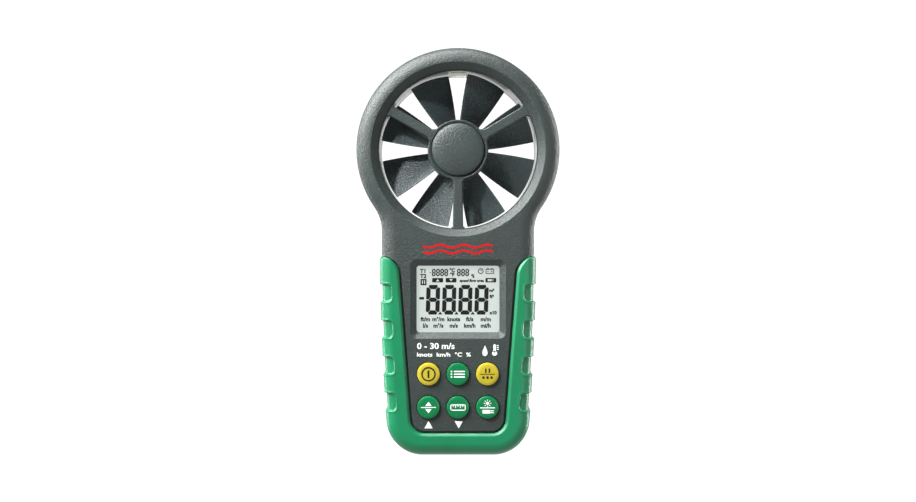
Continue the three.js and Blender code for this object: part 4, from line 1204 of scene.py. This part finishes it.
CARRIED = {
    BRONZE: "front_bearing rear_bearing",
    BLACK: "rotor_magnet speed_sensor main_chip buzzer battery_snap",
    BOARD: "sensor_board main_board",
    WIRE_BLACK: "sensor_lead battery_lead_black",
    WIRE_RED: "battery_lead_red",
    WHITE_PLASTIC: "lcd_holder backlight_panel",
    SILICONE: "zebra_strip keypad_mat",
}
for name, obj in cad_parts.items():
    if obj.hide_render:
        continue
    obj.data.materials.clear()
    obj.data.materials.append(next((m for m, names in CARRIED.items() if name in names.split()), STEEL))

# ---- room, light and camera


def studio():
    """A round pale floor that curves up into a wall all round. The room's light comes from the world."""
    radius, bend, height, centre, sides = 2400, 900, 3000, 600, 96
    curve = [(radius, height)]
    for a in np.linspace(pi / 2, 0, 20):
        curve.append((radius - bend + bend * sin(a), bend * (1 - cos(a))))
    curve.append((centre, 0))
    turn = np.linspace(0, 2 * pi, sides, endpoint=False)
    verts = [(r * cos(a), r * sin(a), z) for r, z in curve for a in turn] + [(0, 0, 0)]
    middle = len(verts) - 1
    rim = middle - sides
    faces = bridge(curve, sides) + [(middle, rim + i, rim + (i + 1) % sides) for i in range(sides)]
    floor = new_object(verts, faces)
    floor.name = "studio_floor"
    floor.data.shade_smooth()
    n = Nodes("studio_white")
    patch = n.noise(300, 2)
    n.set(Base_Color=n.mix(patch, (0.2, 0.2, 0.2, 1), (0.22, 0.22, 0.22, 1)))
    n.set(Roughness=n.ramp(patch, 0.85, 0.95, 0, 1), Specular_IOR_Level=0.05)
    n.set(Emission_Color=(1, 1, 1, 1), Emission_Strength=1.0)
    floor.data.materials.append(n.material)
    floor.visible_diffuse = False
    floor.visible_glossy = False


def area_light(name, place, size, power):
    data = bpy.data.lights.new(name, "AREA")
    data.shape = "RECTANGLE"
    data.size, data.size_y = size
    data.energy = power
    lamp = bpy.data.objects.new(name, data)
    lamp.location = place
    lamp.rotation_euler = (LIGHT_TARGET - Vector(place)).to_track_quat("-Z", "Y").to_euler()
    lamp.visible_camera = False
    link(lamp)


def room_light():
    """Even light from all round, stronger from behind and below the object, as a white table gives."""
    world = bpy.data.worlds.new("studio")
    world.use_nodes = True
    nodes, links = world.node_tree.nodes, world.node_tree.links
    facing = nodes.new("ShaderNodeVectorMath")
    facing.operation = "DOT_PRODUCT"
    facing.inputs[1].default_value = ROOM_BRIGHT_SIDE
    ramp = nodes.new("ShaderNodeMapRange")
    links.new(nodes.new("ShaderNodeTexCoord").outputs["Generated"], facing.inputs[0])
    links.new(facing.outputs["Value"], ramp.inputs["Value"])
    for i, number in enumerate((-1, 1, *ROOM_GLOW)):
        ramp.inputs[1 + i].default_value = number
    links.new(ramp.outputs["Result"], nodes["Background"].inputs["Strength"])
    nodes["Background"].inputs["Color"].default_value = (1, 1, 1, 1)
    scene.world = world


LIGHT_TARGET = Vector((0, 0, 0.09))
ROOM_BRIGHT_SIDE = (0.2, 0.6, -0.75)
ROOM_GLOW = (0.05, 1.25)
studio()
area_light("key", (-0.34, -0.46, 0.55), (0.07, 0.07), 7.5)
area_light("left_box", (-0.72, -0.42, 0.4), (0.6, 0.6), 3.5)
area_light("upper_left_box", (-0.58, -0.16, 0.6), (0.4, 0.7), 17)
area_light("top_box", (-0.05, -0.15, 0.75), (0.35, 0.35), 6)
area_light("right_rim", (0.85, 0.3, 0.15), (0.12, 0.9), 12)
area_light("low_fill", (0.42, -0.75, 0.05), (0.5, 0.2), 1.0)
area_light("left_rim", (-0.85, 0.35, 0.15), (0.12, 0.9), 6)
room_light()
scene.view_settings.view_transform = "Standard"

CAMERA_DISTANCE = 0.68
FRAME_WIDTH = 0.3807
optics = bpy.data.cameras.new("camera")
optics.sensor_width = 36
optics.lens = optics.sensor_width * CAMERA_DISTANCE / FRAME_WIDTH
camera = bpy.data.objects.new("camera", optics)
camera.location = (0, FRONT_Y * MM - CAMERA_DISTANCE, 0.0851)
camera.rotation_euler = (pi / 2, 0, 0)
link(camera)
scene.camera = camera
